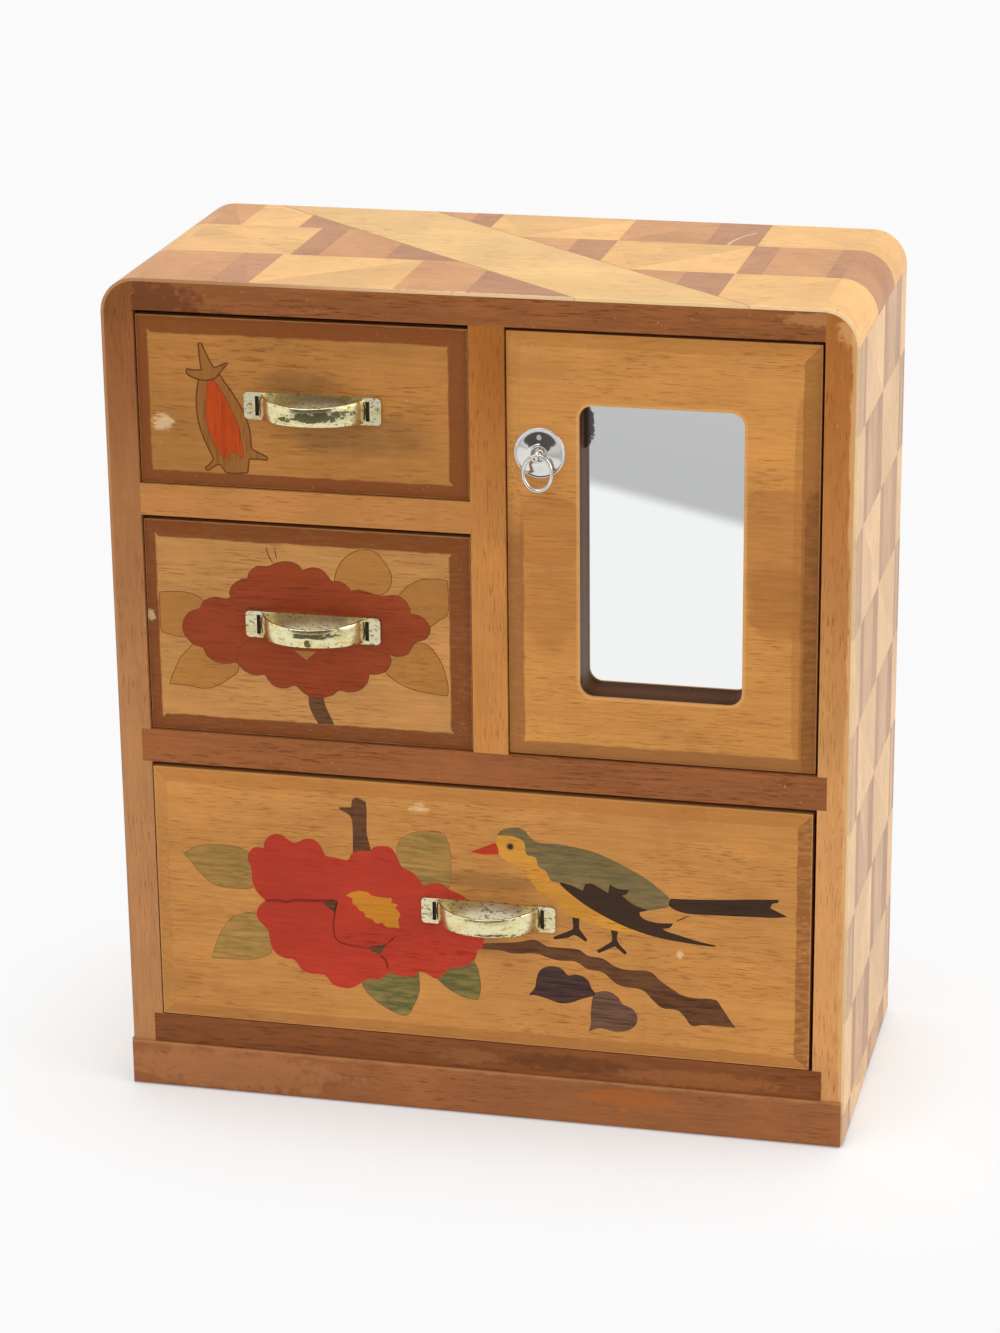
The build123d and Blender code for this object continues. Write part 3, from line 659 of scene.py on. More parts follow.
# ------------------------------------------------------------------ fronts
def front_material(name, node, tone, sides, seed, spots=(), smudges=(), window=None):
    """Face and bevels of a front. sides gives, at the left, right, bottom and top, how wide the bevel's
    stain is, its tone, its strength, how patchy it is, and the two heights between which it sets in.
    spots are pale worn places as (x, z, half width, half height); smudges are darker ones, each with
    its place, tone, strength and squareness."""
    g = Graph(name)
    colour, fibre = wood_colour(g, linear(*tone), GRAIN_X, seed=seed)
    low, high = box_mm(node)
    x, z = g.axis(0), g.axis(2)
    streak = g.between(fibre, 0.3, 0.7, 0.84, 1.16)
    drift = g.minus(g.noise((0.12, 0.12, 0.12), 4.0, 0.65, (seed, 0, 0)), 0.5)
    wobble = g.times(drift, 1.5)
    mottle = g.noise((0.16, 0.5, 0.8), 4.0, 0.65, (seed, seed, 0))
    patch = g.swing(mottle, 2.4)
    for place, smudge_tone, strength, power in smudges:
        mask = ellipse_mask(g, x, z, place, g.times(drift, 1.6), 1.8 / power, power)
        colour = g.mix(g.times(mask, strength), colour, g.scaled(linear(*smudge_tone), streak))
    gaps = {
        "left": g.minus(x, low[0]),
        "right": g.minus(high[0], x),
        "bottom": g.minus(z, low[2]),
        "top": g.minus(high[2], z),
    }
    nearest = g.smaller(g.smaller(gaps["left"], gaps["right"]),
                     g.smaller(gaps["bottom"], gaps["top"]))
    for side, (width, tone_there, strength, patchy, z_none, z_full) in sides.items():
        here = g.below(g.minus(gaps[side], nearest), 0.0, 0.25)
        ring = g.below(g.plus(gaps[side], wobble), width - 0.5, width + 0.2)
        broken = g.plus(1.0 - patchy, g.times(g.span(mottle, 0.38, 0.58), patchy))
        share = g.times(g.times(here, ring), g.times(broken, strength))
        if z_none != z_full:
            share = g.times(share, g.between(z, z_none, z_full, 0.0, 1.0))
        bevel_tone = linear(*tone_there)
        shade = g.mix(g.span(mottle, 0.35, 0.65), g.scaled(bevel_tone, 0.78), g.scaled(bevel_tone, 1.1))
        colour = g.mix(share, colour, shade)
    flake = g.noise((0.35, 0.7, 0.9), 4.0, 0.65, (0, seed, seed))
    for place in spots:
        mask = ellipse_mask(g, x, z, place, g.swing(flake, 4.5), 1.0)
        colour = g.mix(g.times(mask, 0.55), colour, WORN)
    # A pale band along the outer edges: painted highlight of the rounded edge, with wear.
    edge_highlight_and_wear = g.below(g.plus(nearest, g.times(patch, 0.3)), 0.1, 0.55)
    colour = g.mix(g.times(edge_highlight_and_wear, 0.35), colour, linear(206, 158, 104))
    if window:
        colour = window(g, colour, x, z)
    colour = specks(0.8, 0.35)(g, colour)
    return lacquer(g, colour, fibre)


SMUDGE = (112, 80, 46)


def stained_bevels(tone, left, right, bottom, top):
    """The same dark stain all round, with its width on each side."""
    widths = {"left": left, "right": right, "bottom": bottom, "top": top}
    return {side: (width, tone, 0.97, 0.18, 0, 0) for side, width in widths.items()}


TOP_FRONT = front_material(
    "top_front", "top_drawer_front", (175, 118, 58), stained_bevels((127, 67, 28), 4.3, 6.3, 4.8, 5.5),
    seed=21.0, spots=((-101.0, 231.8, 3.8, 3.2),),
    smudges=(((-38.0, 231.0, 24.0, 9.0), SMUDGE, 0.42, 2.0), ((-56.0, 246.5, 16.0, 5.0), SMUDGE, 0.42, 2.0)),
)
MIDDLE_FRONT = front_material(
    "middle_front", "middle_drawer_front", (184, 130, 73), stained_bevels((122, 63, 26), 4.2, 7.0, 5.8, 5.6),
    seed=22.0, spots=((-108.0, 166.8, 1.8, 2.2), (-32.0, 181.2, 2.0, 0.8)),
    smudges=(((-30.0, 164.0, 12.0, 8.0), SMUDGE, 0.42, 2.0),),
)
BOTTOM_FRONT = front_material(
    "bottom_front", "bottom_drawer_front", (192, 133, 69),
    {
        "left": (4.75, (186, 126, 66), 0.5, 0.5, 0, 0),
        "right": (4.75, (134, 80, 40), 0.85, 0.55, 0, 0),
        "bottom": (4.75, (168, 108, 54), 0.6, 0.6, 0, 0),
        "top": (4.75, (176, 112, 52), 0.6, 0.4, 0, 0),
    },
    seed=23.0, spots=((-19.0, 107.6, 3.8, 1.8), (66.3, 63.7, 1.4, 1.3), (16.6, 61.2, 0.7, 0.7)),
    smudges=(((3.0, 84.0, 24.0, 4.0), SMUDGE, 0.42, 2.0), ((-15.0, 62.0, 30.0, 6.0), SMUDGE, 0.42, 2.0)),
)

WINDOW_X = (33.5, 85.2)
WINDOW_Z = (149.3, 244.2)
WINDOW_RADIUS = 4.4


def window_edge(g, colour, x, z):
    """Pale rounded rim on the face, worn wood with a painted highlight, and the wall of the window made
    darker, most near the face.
    """
    half_x = (WINDOW_X[1] - WINDOW_X[0]) / 2 - WINDOW_RADIUS
    half_z = (WINDOW_Z[1] - WINDOW_Z[0]) / 2 - WINDOW_RADIUS
    reach = g.past_box(g.minus(x, sum(WINDOW_X) / 2), g.minus(z, sum(WINDOW_Z) / 2), half_x, half_z)
    gap = g.minus(reach, WINDOW_RADIUS)
    # Painted highlight along the rounded rim, with worn wood.
    rim_highlight_and_wear = g.below(gap, 0.7, 1.2)
    colour = g.mix(g.times(rim_highlight_and_wear, 0.4), colour, linear(222, 170, 106))
    depth = g.minus(g.axis(1), FRONT_Y)
    wall = g.times(g.below(gap, 0.1, 0.3), g.span(depth, 0.6, 1.2))
    dark_tone = g.mix(g.span(depth, 1.5, 8.0), linear(58, 30, 16), linear(96, 58, 34))
    return g.mix(g.times(wall, 0.95), colour, dark_tone)


DOOR_FRONT = front_material(
    "door_front", "door_panel", (194, 134, 68),
    {
        "left": (5.4, (146, 90, 48), 0.8, 0.3, 212, 200),
        "right": (5.6, (146, 92, 42), 0.8, 0.35, 0, 0),
        "bottom": (5.0, (146, 94, 50), 0.85, 0.25, 0, 0),
        "top": (4.4, (176, 116, 54), 0.6, 0.6, 0, 0),
    },
    seed=24.0, window=window_edge,
    smudges=(
        ((24.0, 203.0, 9.5, 11.5), (166, 106, 50), 0.55, 5.0),
        ((24.0, 178.0, 10.0, 15.0), (166, 106, 50), 0.5, 2.5),
        ((99.0, 198.0, 13.0, 23.0), (170, 110, 54), 0.5, 7.0),
        ((97.0, 184.0, 11.0, 13.0), (158, 100, 46), 0.45, 3.0),
        ((105.5, 190.0, 5.0, 60.0), (162, 104, 48), 0.45, 6.0),
        ((115.0, 170.5, 11.0, 50.5), (104, 58, 26), 0.75, 12.0),
    ),
)

for drawer, material in zip(DRAWERS, (TOP_FRONT, MIDDLE_FRONT, BOTTOM_FRONT)):
    paint(f"{drawer}_front", material)
    paint(f"{drawer}_veneer", material)
paint("door_panel", DOOR_FRONT)
paint("door_veneer", DOOR_FRONT)


# ------------------------------------------------------------------ inlay
def veneer(name, tone, direction=GRAIN_X, seed=0.0, contrast=0.16, dashes=0.45):
    """Stained veneer of the pictures, streaked along its grain."""
    return board_material(name, tone, direction, contrast, seed=seed, dashes=dashes)


def clouded(tone, amount, along=0.1, across=0.75):
    """Streaks of a second stain along the grain."""
    def apply(g, colour):
        cloud = g.noise((along, across, across), 4.0, 0.65)
        streak = g.span(cloud, 0.40, 0.60)
        share = g.times(streak, amount)
        return g.mix(share, colour, g.scaled(linear(*tone), g.between(cloud, 0.3, 0.7, 1.2, 0.8)))
    return apply


def leaf(name, tone, green, amount, seed):
    """Green stain that took unevenly on pale veneer."""
    return board_material(name, tone, GRAIN_X, 0.16, seed=seed, dashes=0.6, worn=(clouded(green, amount),))


KERF = veneer("kerf", (104, 60, 26), seed=30.0)
HUSK = veneer("husk", (150, 96, 43), GRAIN_Z, 31.0, 0.1)
FRUIT = veneer("fruit", (176, 66, 16), GRAIN_Z, 32.0, 0.14)
FLOWER_BROWN = veneer("flower_brown", (142, 60, 27), seed=33.0)
LEAF_PLAIN = veneer("leaf_plain", (172, 116, 56), seed=34.0, contrast=0.1)
LEAF_GREEN = leaf("leaf_green", (168, 128, 68), (128, 106, 54), 0.6, 35.0)
LEAF_DARK = leaf("leaf_dark", (136, 118, 66), (86, 92, 52), 0.8, 35.5)
FLOWER_RED = veneer("flower_red", (180, 57, 38), seed=36.0, contrast=0.12)
PETAL_LINE = veneer("petal_line", (120, 36, 26), seed=36.5, contrast=0.12)
STAMEN = veneer("stamen", (198, 128, 38), seed=37.0)
TWIG = board_material("twig", (92, 57, 34), GRAIN_X, 0.25, seed=38.0, dashes=0.6,
                      worn=(clouded((126, 86, 54), 0.45),))
BIRD_GREEN = board_material("bird_green", (128, 108, 66), GRAIN_X, 0.16, seed=39.0,
                            worn=(clouded((96, 88, 62), 0.6),))
BIRD_GOLD = veneer("bird_gold", (204, 142, 54), seed=40.0, contrast=0.1)
BIRD_DARK = veneer("bird_dark", (60, 41, 28), seed=41.0)
BEAK = veneer("beak", (182, 54, 28), seed=42.0)
HEART_DARK = board_material("heart_dark", (60, 41, 38), GRAIN_X, 0.3, seed=43.0,
                            worn=(clouded((112, 80, 64), 0.35, 0.06, 1.3),))
HEART_PALE = board_material("heart_pale", (84, 58, 46), GRAIN_X, 0.3, seed=45.0,
                            worn=(clouded((136, 98, 76), 0.6, 0.06, 1.3),))
# Painted shade and dirt, seen through the slots of the handles' plates.
SLOT_SHADE_AND_DIRT = veneer("slot_shade_and_dirt", (66, 48, 30), seed=44.0)

FACE_Y = {drawer: FRONT_Y for drawer in DRAWERS}
FACE_Y["bottom_drawer"] = box_mm("bottom_drawer_veneer")[0][1]


class Picture:
    """The inlay of one drawer front."""

    def __init__(self, body):
        self.body = body
        self.face_y = FACE_Y[body]

    def shape(self, name, points, layer, material, kerf=0.0):
        curve = smooth_outline(points)
        if kerf:
            inlay(f"{name}_kerf", grown_outline(curve, kerf), self.face_y, layer - 0.5, KERF, self.body)
        inlay(name, curve, self.face_y, layer, material, self.body)

    def line(self, name, points, layer, width, material=None):
        inlay(name, line_outline(points, width), self.face_y, layer, material or KERF, self.body)


# The upper drawer: a fruit in its split husk.
top_picture = Picture("top_drawer")
top_picture.shape("husk", (
    (-88.3, 246.5), (-89.2, 241), (-89.3, 236), (-88.5, 231), (-87, 226.5), (-85.3, 222.8), (-84.5, 220.3),
    (-87.3, 217.2), (-86.5, 217), (-84, 218.7), (-82.5, 219), (-81.5, 218), (-80.2, 216.5), (-74.5, 216.7),
    (-73.7, 216.7), (-73, 221.3), (-70, 221.5), (-67, 221.3), (-67.3, 222), (-70.5, 223.5), (-72, 224.5),
    (-72.3, 228), (-73, 232.5), (-75, 237.5), (-78, 242.5), (-80.5, 246), (-81.5, 247.7), (-84.5, 247.4),
), 2, HUSK, kerf=0.5)
top_picture.shape("fruit", (
    (-85.6, 246), (-83.5, 246), (-82, 244), (-80.2, 241.3), (-78, 236.5), (-76, 232), (-75.3, 227),
    (-74.7, 222.5), (-75.2, 221), (-76.5, 222.5), (-77.5, 223.2), (-78.8, 222.8), (-79.5, 220.8), (-82, 222),
    (-84.2, 226), (-85.6, 229.5), (-86.5, 234), (-86.3, 240),
), 3, FRUIT, kerf=0.15)
top_picture.shape("crown", (
    (-92.3, 249.3), (-92, 248), (-89.5, 246.8), (-86.5, 246.3), (-83.5, 247), (-82, 248.5), (-80.8, 250),
    (-79, 252), (-81, 251), (-83.5, 250), (-85, 252.5), (-87.5, 258), (-88, 257.8), (-87.7, 253),
    (-87.3, 249.2), (-90, 249),
), 4, HUSK, kerf=0.5)

# The middle drawer: a flower with pale leaves.
FLOWER_OUTLINE = (
    (-97, 163), (-96.5, 166), (-94.5, 168.8), (-91, 170.3), (-89.5, 172.8), (-86, 174.3), (-82, 174),
    (-80.5, 174.8), (-80.8, 176.5), (-79.5, 179), (-76.5, 181), (-74.8, 181.3), (-74, 183.5), (-71.5, 185.5),
    (-68, 185.7), (-64.5, 187.3), (-61, 187.8), (-58, 187), (-56.5, 185.2), (-53, 186.3), (-50, 185.7),
    (-48, 183.5), (-47, 182.3), (-44, 182.2), (-41.5, 180.5), (-40.5, 179.2), (-38, 179.8), (-34, 179),
    (-30, 178.2), (-26, 178.8), (-23, 177.3), (-21.5, 174.5), (-21.3, 173), (-18, 172.3), (-15.5, 170),
    (-15, 167.5), (-16.5, 165), (-19.5, 163.8), (-21, 162), (-22.5, 159.5), (-26, 158.5), (-28.5, 159),
    (-28, 156.5), (-29.5, 153.5), (-32, 152.2), (-35.3, 151.8), (-36, 149), (-38.5, 146.3), (-42, 145.3),
    (-45.5, 145.6), (-47.5, 144), (-51, 142.9), (-55, 143), (-57.5, 144.3), (-60, 146.3), (-63, 145.3),
    (-66.5, 145.5), (-68.8, 147.5), (-70, 149.2), (-73.5, 148.9), (-77, 150.3), (-79.5, 152.8), (-82, 152.3),
    (-86, 152.5), (-89, 154.3), (-90.5, 157), (-93.5, 158), (-96, 160.5),
)
middle_picture = Picture("middle_drawer")
for name, points in (
    ("pale_leaf_a", ((-45.8, 182), (-45, 186), (-43, 189.5), (-40, 192), (-36, 193.3), (-32, 192.5),
                     (-29.5, 189.5), (-27.5, 186), (-27.5, 182.5), (-29, 180), (-36, 176), (-44, 178))),
    ("pale_leaf_b", ((-25, 178.7), (-22, 182), (-18, 184.3), (-14, 185), (-9.1, 184.8), (-9.1, 174),
                     (-12, 171.5), (-16, 169), (-22, 172))),
    ("pale_leaf_c", ((-30, 153.5), (-27, 150.5), (-22, 148), (-16, 146.8), (-9.5, 146.3), (-9.5, 150),
                     (-11, 156), (-13.5, 160.5), (-17, 163.3), (-24, 162), (-29, 158))),
    ("pale_leaf_d", ((-92, 159.5), (-97, 154.5), (-99.3, 151), (-101, 147), (-102.3, 144), (-97, 143.9),
                     (-91, 143.2), (-87, 144), (-83, 146.5), (-79, 150), (-79, 154))),
    ("pale_leaf_e", ((-88, 171), (-92, 174.5), (-97, 175.5), (-104.3, 175), (-104.3, 162.5), (-103, 161.3),
                     (-96, 160.5), (-92, 164))),
):
    middle_picture.shape(name, points, 2, LEAF_PLAIN, kerf=0.22)
middle_picture.shape("stem", (
    (-55.5, 145), (-51, 145), (-50, 140), (-48.5, 136.5), (-47.3, 133.8), (-52.5, 133.5), (-54, 136),
    (-55.5, 140),
), 3, TWIG)
middle_picture.shape("brown_flower", FLOWER_OUTLINE, 4, FLOWER_BROWN, kerf=0.2)
middle_picture.shape("flower_gap", ((-60, 158.2), (-52.5, 158.2), (-56, 155.2)), 5, LEAF_PLAIN)
for index, points in enumerate((
    ((-81, 174), (-76, 171), (-68, 172)),
    ((-40.5, 178), (-42, 175.8), (-45, 174.8), (-49, 171.5)),
    ((-79.8, 152.8), (-78.5, 155.5), (-79, 157.5), (-74, 161.5)),
    ((-28.5, 159), (-37, 160.5)),
)):
    middle_picture.line(f"brown_petal_line_{index}", points, 5, 0.3)
for index, points in enumerate((
    ((-68.3, 192.5), (-67.5, 189.5), (-66, 187)),
    ((-65.5, 192), (-64.8, 188.5)),
)):
    middle_picture.line(f"bud_line_{index}", points, 3, 0.3)

# The bottom drawer: a camellia, a bird and a branch.
bottom_picture = Picture("bottom_drawer")
for name, points in (
    ("leaf_1", ((-99.5, 85.3), (-95, 88), (-90, 89.2), (-85, 89.4), (-80, 88.8), (-76, 86), (-75, 78),
                (-76.5, 75), (-82, 74.3), (-87, 74.5), (-90.5, 75.8), (-94.5, 79.3), (-97, 82.5))),
    ("leaf_2", ((-91.2, 48.6), (-89.5, 54), (-87.5, 58.5), (-84.5, 63), (-80, 65.5), (-74, 66.5), (-70, 60),
                (-70.5, 52.5), (-72, 51.3), (-76, 49.6), (-82, 49))),
    ("leaf_3", ((-25.5, 86.7), (-27, 92), (-26, 95.5), (-23, 98), (-20, 99.3), (-14, 100), (-11, 99.5),
                (-9.5, 95), (-9, 89), (-9.2, 84), (-9.8, 80.5), (-16, 79.5), (-19.5, 81.5), (-22, 84))),
    ("dark_leaf_4", ((-40, 44.5), (-38.5, 41.5), (-35.5, 38.5), (-31.5, 36), (-27, 34), (-24.5, 34.2),
                     (-23, 36.5), (-21, 41), (-20.3, 44), (-20.5, 50), (-30, 51))),
    ("dark_leaf_5", ((-1, 41.8), (-5, 42.3), (-9, 44), (-12, 46), (-15, 49), (-10, 54), (-3, 56), (-1, 54),
                     (0, 50), (0.3, 46), (-0.3, 43))),
):
    bottom_picture.shape(name, points, 2, LEAF_DARK if name.startswith("dark") else LEAF_GREEN, kerf=0.1)
bottom_picture.shape("twig", (
    (-41.8, 90), (-41.8, 101.5), (-43, 103.5), (-46, 105), (-46, 105.8), (-42, 106), (-41.5, 108.8),
    (-40, 109.6), (-38.5, 109), (-37, 108), (-37, 98), (-36.5, 95), (-35.3, 90), (-38, 89),
), 2, TWIG)
bottom_picture.shape("branch", (
    (-1, 61.7), (8, 62.8), (13, 63.5), (18, 64.8), (20, 64.3), (23, 62.8), (33, 62.7), (36, 60.8), (41, 60.2),
    (45, 57.8), (49, 56.9), (56.5, 57), (60, 54), (65, 50.8), (66.5, 49.8), (71, 49), (78, 49), (80, 46.5),
    (83, 42), (84.7, 39.8), (74, 39.8), (70.3, 39.2), (68, 42), (65.5, 44.2), (60.5, 44.6), (57.5, 47),
    (54, 50.3), (48, 50.9), (45, 52), (41, 55.3), (36, 56), (32, 58.3), (27, 58.2), (23.5, 58.7), (19, 60),
    (11, 59.3), (7.5, 60), (-1, 60),
), 2, TWIG)
bottom_picture.shape("red_flower", (
    (-77.6, 86), (-75.5, 89.2), (-72, 89.5), (-71.5, 92), (-69, 94.3), (-66, 94.6), (-63, 92.6), (-61, 92.2),
    (-58, 93.7), (-55, 93.8), (-52.5, 91.5), (-51, 88.5), (-48, 88), (-45, 87.5), (-43.5, 87.6), (-42, 90),
    (-39, 91.2), (-36, 91.3), (-35, 92.6), (-32, 93.4), (-29, 93), (-27.5, 91), (-26, 87.5), (-25, 86.3),
    (-22, 85), (-19.5, 82.5), (-18.3, 80.5), (-15, 81.8), (-12, 81.7), (-10, 80.2), (-5, 78), (0, 73),
    (2, 67), (1, 60), (-0.5, 59.5), (-1, 57), (-3, 54.5), (-6, 53), (-10, 52), (-11.5, 50.5), (-13.5, 48.5),
    (-15, 48.2), (-18, 49.6), (-20, 50), (-22, 48.5), (-25, 47.8), (-28.5, 48.3), (-30.5, 49), (-32, 47.5),
    (-34, 46), (-37, 46), (-39, 45), (-41, 43.5), (-44, 42), (-47, 42), (-50, 43), (-51.5, 45), (-53, 46),
    (-57, 46), (-60, 47), (-61.5, 49), (-63, 50.5), (-66, 50.8), (-69, 52.3), (-70.5, 55), (-71, 58),
    (-71.3, 60), (-73, 62), (-75, 64.5), (-75, 67), (-73.5, 69.5), (-72, 70.7), (-75, 74), (-76.2, 77),
    (-76.5, 82),
), 3, FLOWER_RED)
for index, points in enumerate((
    ((-53, 71.8), (-47.5, 73), (-48.5, 68.5)),
    ((-38.5, 57), (-31, 59), (-33.5, 54.8)),
)):
    bottom_picture.shape(f"petal_notch_{index}", points, 4, TWIG)
for index, points in enumerate((
    ((-72, 70.7), (-68, 71.3), (-65, 70.9), (-62, 71.8), (-58, 72), (-52, 72.5), (-48, 73)),
    ((-47.5, 73), (-48.5, 68), (-49, 64), (-48, 59), (-44, 57.5), (-38.5, 57)),
    ((-33.5, 54.8), (-31.5, 53), (-31, 50)),
    ((-31, 59), (-28, 62)),
)):
    bottom_picture.line(f"red_petal_line_{index}", points, 4, (0.9, 0.5, 0.7, 0.5)[index], PETAL_LINE)
bottom_picture.shape("stamen", (
    (-44.5, 75), (-42.5, 76.3), (-40, 77), (-37, 76.7), (-36, 75.8), (-33, 75.3), (-29, 75.3), (-29.3, 73.7),
    (-27, 73.2), (-28, 72), (-26.3, 69.8), (-27, 68), (-26.7, 64.8), (-28.5, 65), (-31, 65), (-32.5, 66.3),
    (-34.5, 66), (-36, 67.4), (-38, 68), (-38.5, 69.5), (-40, 70), (-41, 71.5), (-42.5, 72.5), (-42.3, 74),
), 4, STAMEN)
bottom_picture.shape("bird_breast", (
    (6, 97.5), (6.5, 100), (8.5, 100.5), (13, 100.5), (15.5, 98.5), (16, 94.5), (19, 93.5), (20, 90.5),
    (22.5, 89), (24, 86), (27, 84.5), (33, 83), (42, 78), (56, 71.5), (56, 70), (52, 70), (45, 70.3),
    (38, 71.8), (31, 74), (28.5, 75), (27, 77.3), (25.5, 79), (21.5, 80.5), (19.5, 82.5), (16.5, 86.5),
    (13.5, 89.8), (9.5, 91.5), (7, 93.8),
), 3, BIRD_GOLD)
bottom_picture.shape("bird_back", (
    (6.5, 100.2), (7.5, 101.8), (10, 103), (13, 103.4), (15.5, 102.5), (17.2, 100.5), (20, 98.8), (26, 98.8),
    (32, 98.2), (38, 97), (44, 94.8), (50, 92), (55, 89.3), (59, 86.3), (62.5, 83.3), (62.8, 80.3),
    (61, 79.6), (53, 78), (40, 80), (26.5, 85.5), (24, 86), (22.5, 89), (20, 90.5), (19, 93.5), (16, 94.5),
    (15.3, 98.6), (12, 100.2), (8, 100.4),
), 4, BIRD_GREEN)
bottom_picture.shape("beak", ((-2.6, 93.7), (5.8, 97.6), (6.8, 95.5), (6.8, 93.7), (2, 93.2)), 4, BEAK)
bottom_picture.shape("wing", (
    (26.8, 85.7), (31, 84.8), (34.5, 83.3), (35.3, 85.8), (37.5, 86), (40, 84.8), (42.8, 83.3), (43.3, 86.3),
    (46, 85), (49.5, 85), (49, 83.5), (47.3, 82.8), (50, 80.6), (53, 79.2), (56, 78.5), (54.5, 77.9),
    (53, 77.5), (53.3, 76.2), (55, 75), (59, 74.2), (64, 74.5), (63, 73), (60.5, 72.3), (62, 71.5),
    (66, 70.5), (72, 69), (78, 68), (77.5, 67.6), (72, 67.8), (66, 68.3), (60, 69), (54, 70.3), (48, 72.2),
    (42, 74.8), (36, 78), (31, 81.5), (27.5, 84.5),
), 5, BIRD_DARK)
bottom_picture.shape("tail", (
    (62.5, 81), (63, 83), (70, 83.3), (80, 84), (90, 85), (98, 85.6), (97.8, 84.5), (96, 84), (95.3, 82.5),
    (98, 81.3), (100.8, 80), (97, 79.3), (90, 79), (80, 78.6), (69, 78.3), (66, 78.8), (63.5, 79.8),
), 5, BIRD_DARK)
bottom_picture.shape("leg_left", (
    (31, 73.7), (33.3, 73.6), (33.3, 70.2), (34.5, 68.3), (36, 66.3), (35.3, 65.6), (33.5, 66.8),
    (31.5, 67.6), (29.5, 66.5), (25, 65.5), (24.7, 66.3), (27, 67.5), (30, 69), (31.2, 70),
), 4, BIRD_DARK)
bottom_picture.shape("leg_right", (
    (43.7, 70.4), (46, 70.2), (45.8, 66.8), (49, 63), (48.3, 62.2), (45, 64.8), (39.7, 62), (39, 62.8),
    (42, 65), (44, 66.8),
), 4, BIRD_DARK)
bottom_picture.line("wing_line", ((65, 75.3), (69, 77.5)), 4, 0.35)
EYE = (10.7, 96.7)
EYE_STEPS = 24
for name, radius, layer, material in (("eye_ring", 1.5, 5, LEAF_PLAIN), ("eye", 0.95, 6, BIRD_DARK)):
    angles = [math.tau * step / EYE_STEPS for step in range(EYE_STEPS)]
    circle = [Vector((EYE[0] + radius * math.cos(a), EYE[1] + radius * math.sin(a))) for a in angles]
    inlay(name, circle, FACE_Y["bottom_drawer"], layer, material, "bottom_drawer")
bottom_picture.shape("heart_leaf_1", (
    (16.3, 45), (18.5, 48), (19, 51), (20.5, 54.5), (24, 56), (27.5, 55.3), (29.5, 53.3), (32, 53.7),
    (34.5, 53.3), (36.5, 51.5), (37.3, 49.2), (38.3, 48), (38, 46.8), (34.5, 45.5), (30, 43.5), (26.5, 43.2),
    (22, 44.5), (18.5, 45.2),
), 3, HEART_DARK)
bottom_picture.shape("heart_leaf_2", (
    (37.8, 46.8), (38.5, 48), (43, 48.7), (46, 47), (47.5, 44.7), (50.5, 43.5), (52.3, 41), (52, 38),
    (49.5, 35.6), (45, 34.7), (40.5, 35.5), (38, 34.8), (36.3, 34), (37, 36.5), (37, 40), (37.3, 44),
), 3, HEART_PALE)


# ------------------------------------------------------------------ metal and glass
def brass_material(name, tone, dark_tone, amount, seed, patches=(), middle=(0.0, 0.0), edge=9.0, roughness=0.2):
    """Polished brass with pits, small dark marks towards its upper and lower edges, and larger dark
    places given around its middle as (x, z, half width, half height): painted dark reflections with some
    tarnish."""
    g = Graph(name)
    x, z = g.axis(0), g.axis(2)
    grime = g.noise((0.25, 0.25, 0.55), 6.0, 0.7, (0, seed, 0))
    small = g.noise((0.55, 0.55, 1.1), 4.0, 0.65, (seed, 0, 0))
    out = g.span(g.size(g.minus(z, middle[1])), edge * 0.35, edge)
    marks = g.times(g.span(small, 0.55, 0.62), g.plus(0.15, g.times(out, 0.85)))
    dark = g.larger(g.times(g.span(grime, 0.60, 0.66), amount), g.times(marks, 0.85))
    ragged = g.swing(small, 5.0, 0.48)
    # Painted dark reflections, with some tarnish, at the given places.
    for place in patches:
        moved = (middle[0] + place[0], middle[1] + place[1], place[2], place[3])
        dark = g.larger(dark, g.times(ellipse_mask(g, x, z, moved, ragged, 0.5, 2.6), 0.9))
    gold = g.mix(g.span(grime, 0.48, 0.60), tone, g.tinted(tone, linear(246, 236, 200)))
    colour = g.mix(dark, gold, dark_tone)
    rough = g.plus(roughness, g.times(dark, 0.25))
    g.bump(g.rest(dark), 0.02, 0.5)
    return g.finish(colour, rough, metallic=1.0)


PLATE_BRASS = brass_material("brass_plate", linear(230, 221, 190), linear(130, 120, 90), 0.25, 52.0,
                             roughness=0.32)
BRAD_BRASS = brass_material("brass_brads", linear(222, 212, 170), linear(120, 108, 76), 0.2, 55.0)
# The bow's dark tone serves its grime and its painted dark reflections; the places below are painted
# reflections with some tarnish.
BOW_TONE, BOW_GRIME_AND_REFLECTION = linear(234, 226, 182), linear(84, 76, 50)
BOW_REFLECTIONS_AND_TARNISH = {
    "top_drawer": ((4.8, 0.3, 9.8, 1.9), (-5.6, -0.9, 2.4, 1.0)),
    "middle_drawer": ((3.0, 1.0, 7.0, 0.9), (1.5, -1.6, 1.2, 1.3)),
    "bottom_drawer": ((3.5, -2.2, 5.5, 0.5),),
}


def plain_metal(name, tone, roughness, seed):
    """Bare metal with a faint haze."""
    g = Graph(name)
    haze = g.noise((0.4, 0.4, 0.4), 3.0, 0.6, (seed, 0, 0))
    colour = g.mix(g.span(haze, 0.3, 0.7), g.scaled(tone, 0.92), tone)
    rough = g.between(haze, 0.0, 1.0, roughness * 0.7, roughness * 1.5)
    return g.finish(colour, rough, metallic=1.0)


NICKEL = plain_metal("nickel", linear(226, 224, 220), 0.10, 53.0)
STEEL = plain_metal("steel", linear(176, 176, 174), 0.3, 54.0)


def mirror_material():
    """Silvered glass with a blackened spot at its upper left edge."""
    g = Graph("mirror")
    x, z = g.axis(0), g.axis(2)
    ragged = g.swing(g.noise((0.5, 0.5, 0.5), 4.0, 0.6), 1.6)
    spot = ellipse_mask(g, x, z, MIRROR_SPOT, ragged, 0.2)
    dust = g.span(g.noise((0.25, 0.25, 0.25), 4.0, 0.7), 0.70, 0.76)
    colour = g.mix(g.times(dust, 0.05), linear(246, 247, 247), linear(200, 200, 196))
    colour = g.mix(g.times(spot, 0.9), colour, linear(62, 46, 34))
    return g.finish(colour, g.plus(0.01, g.times(spot, 0.2)), metallic=1.0)


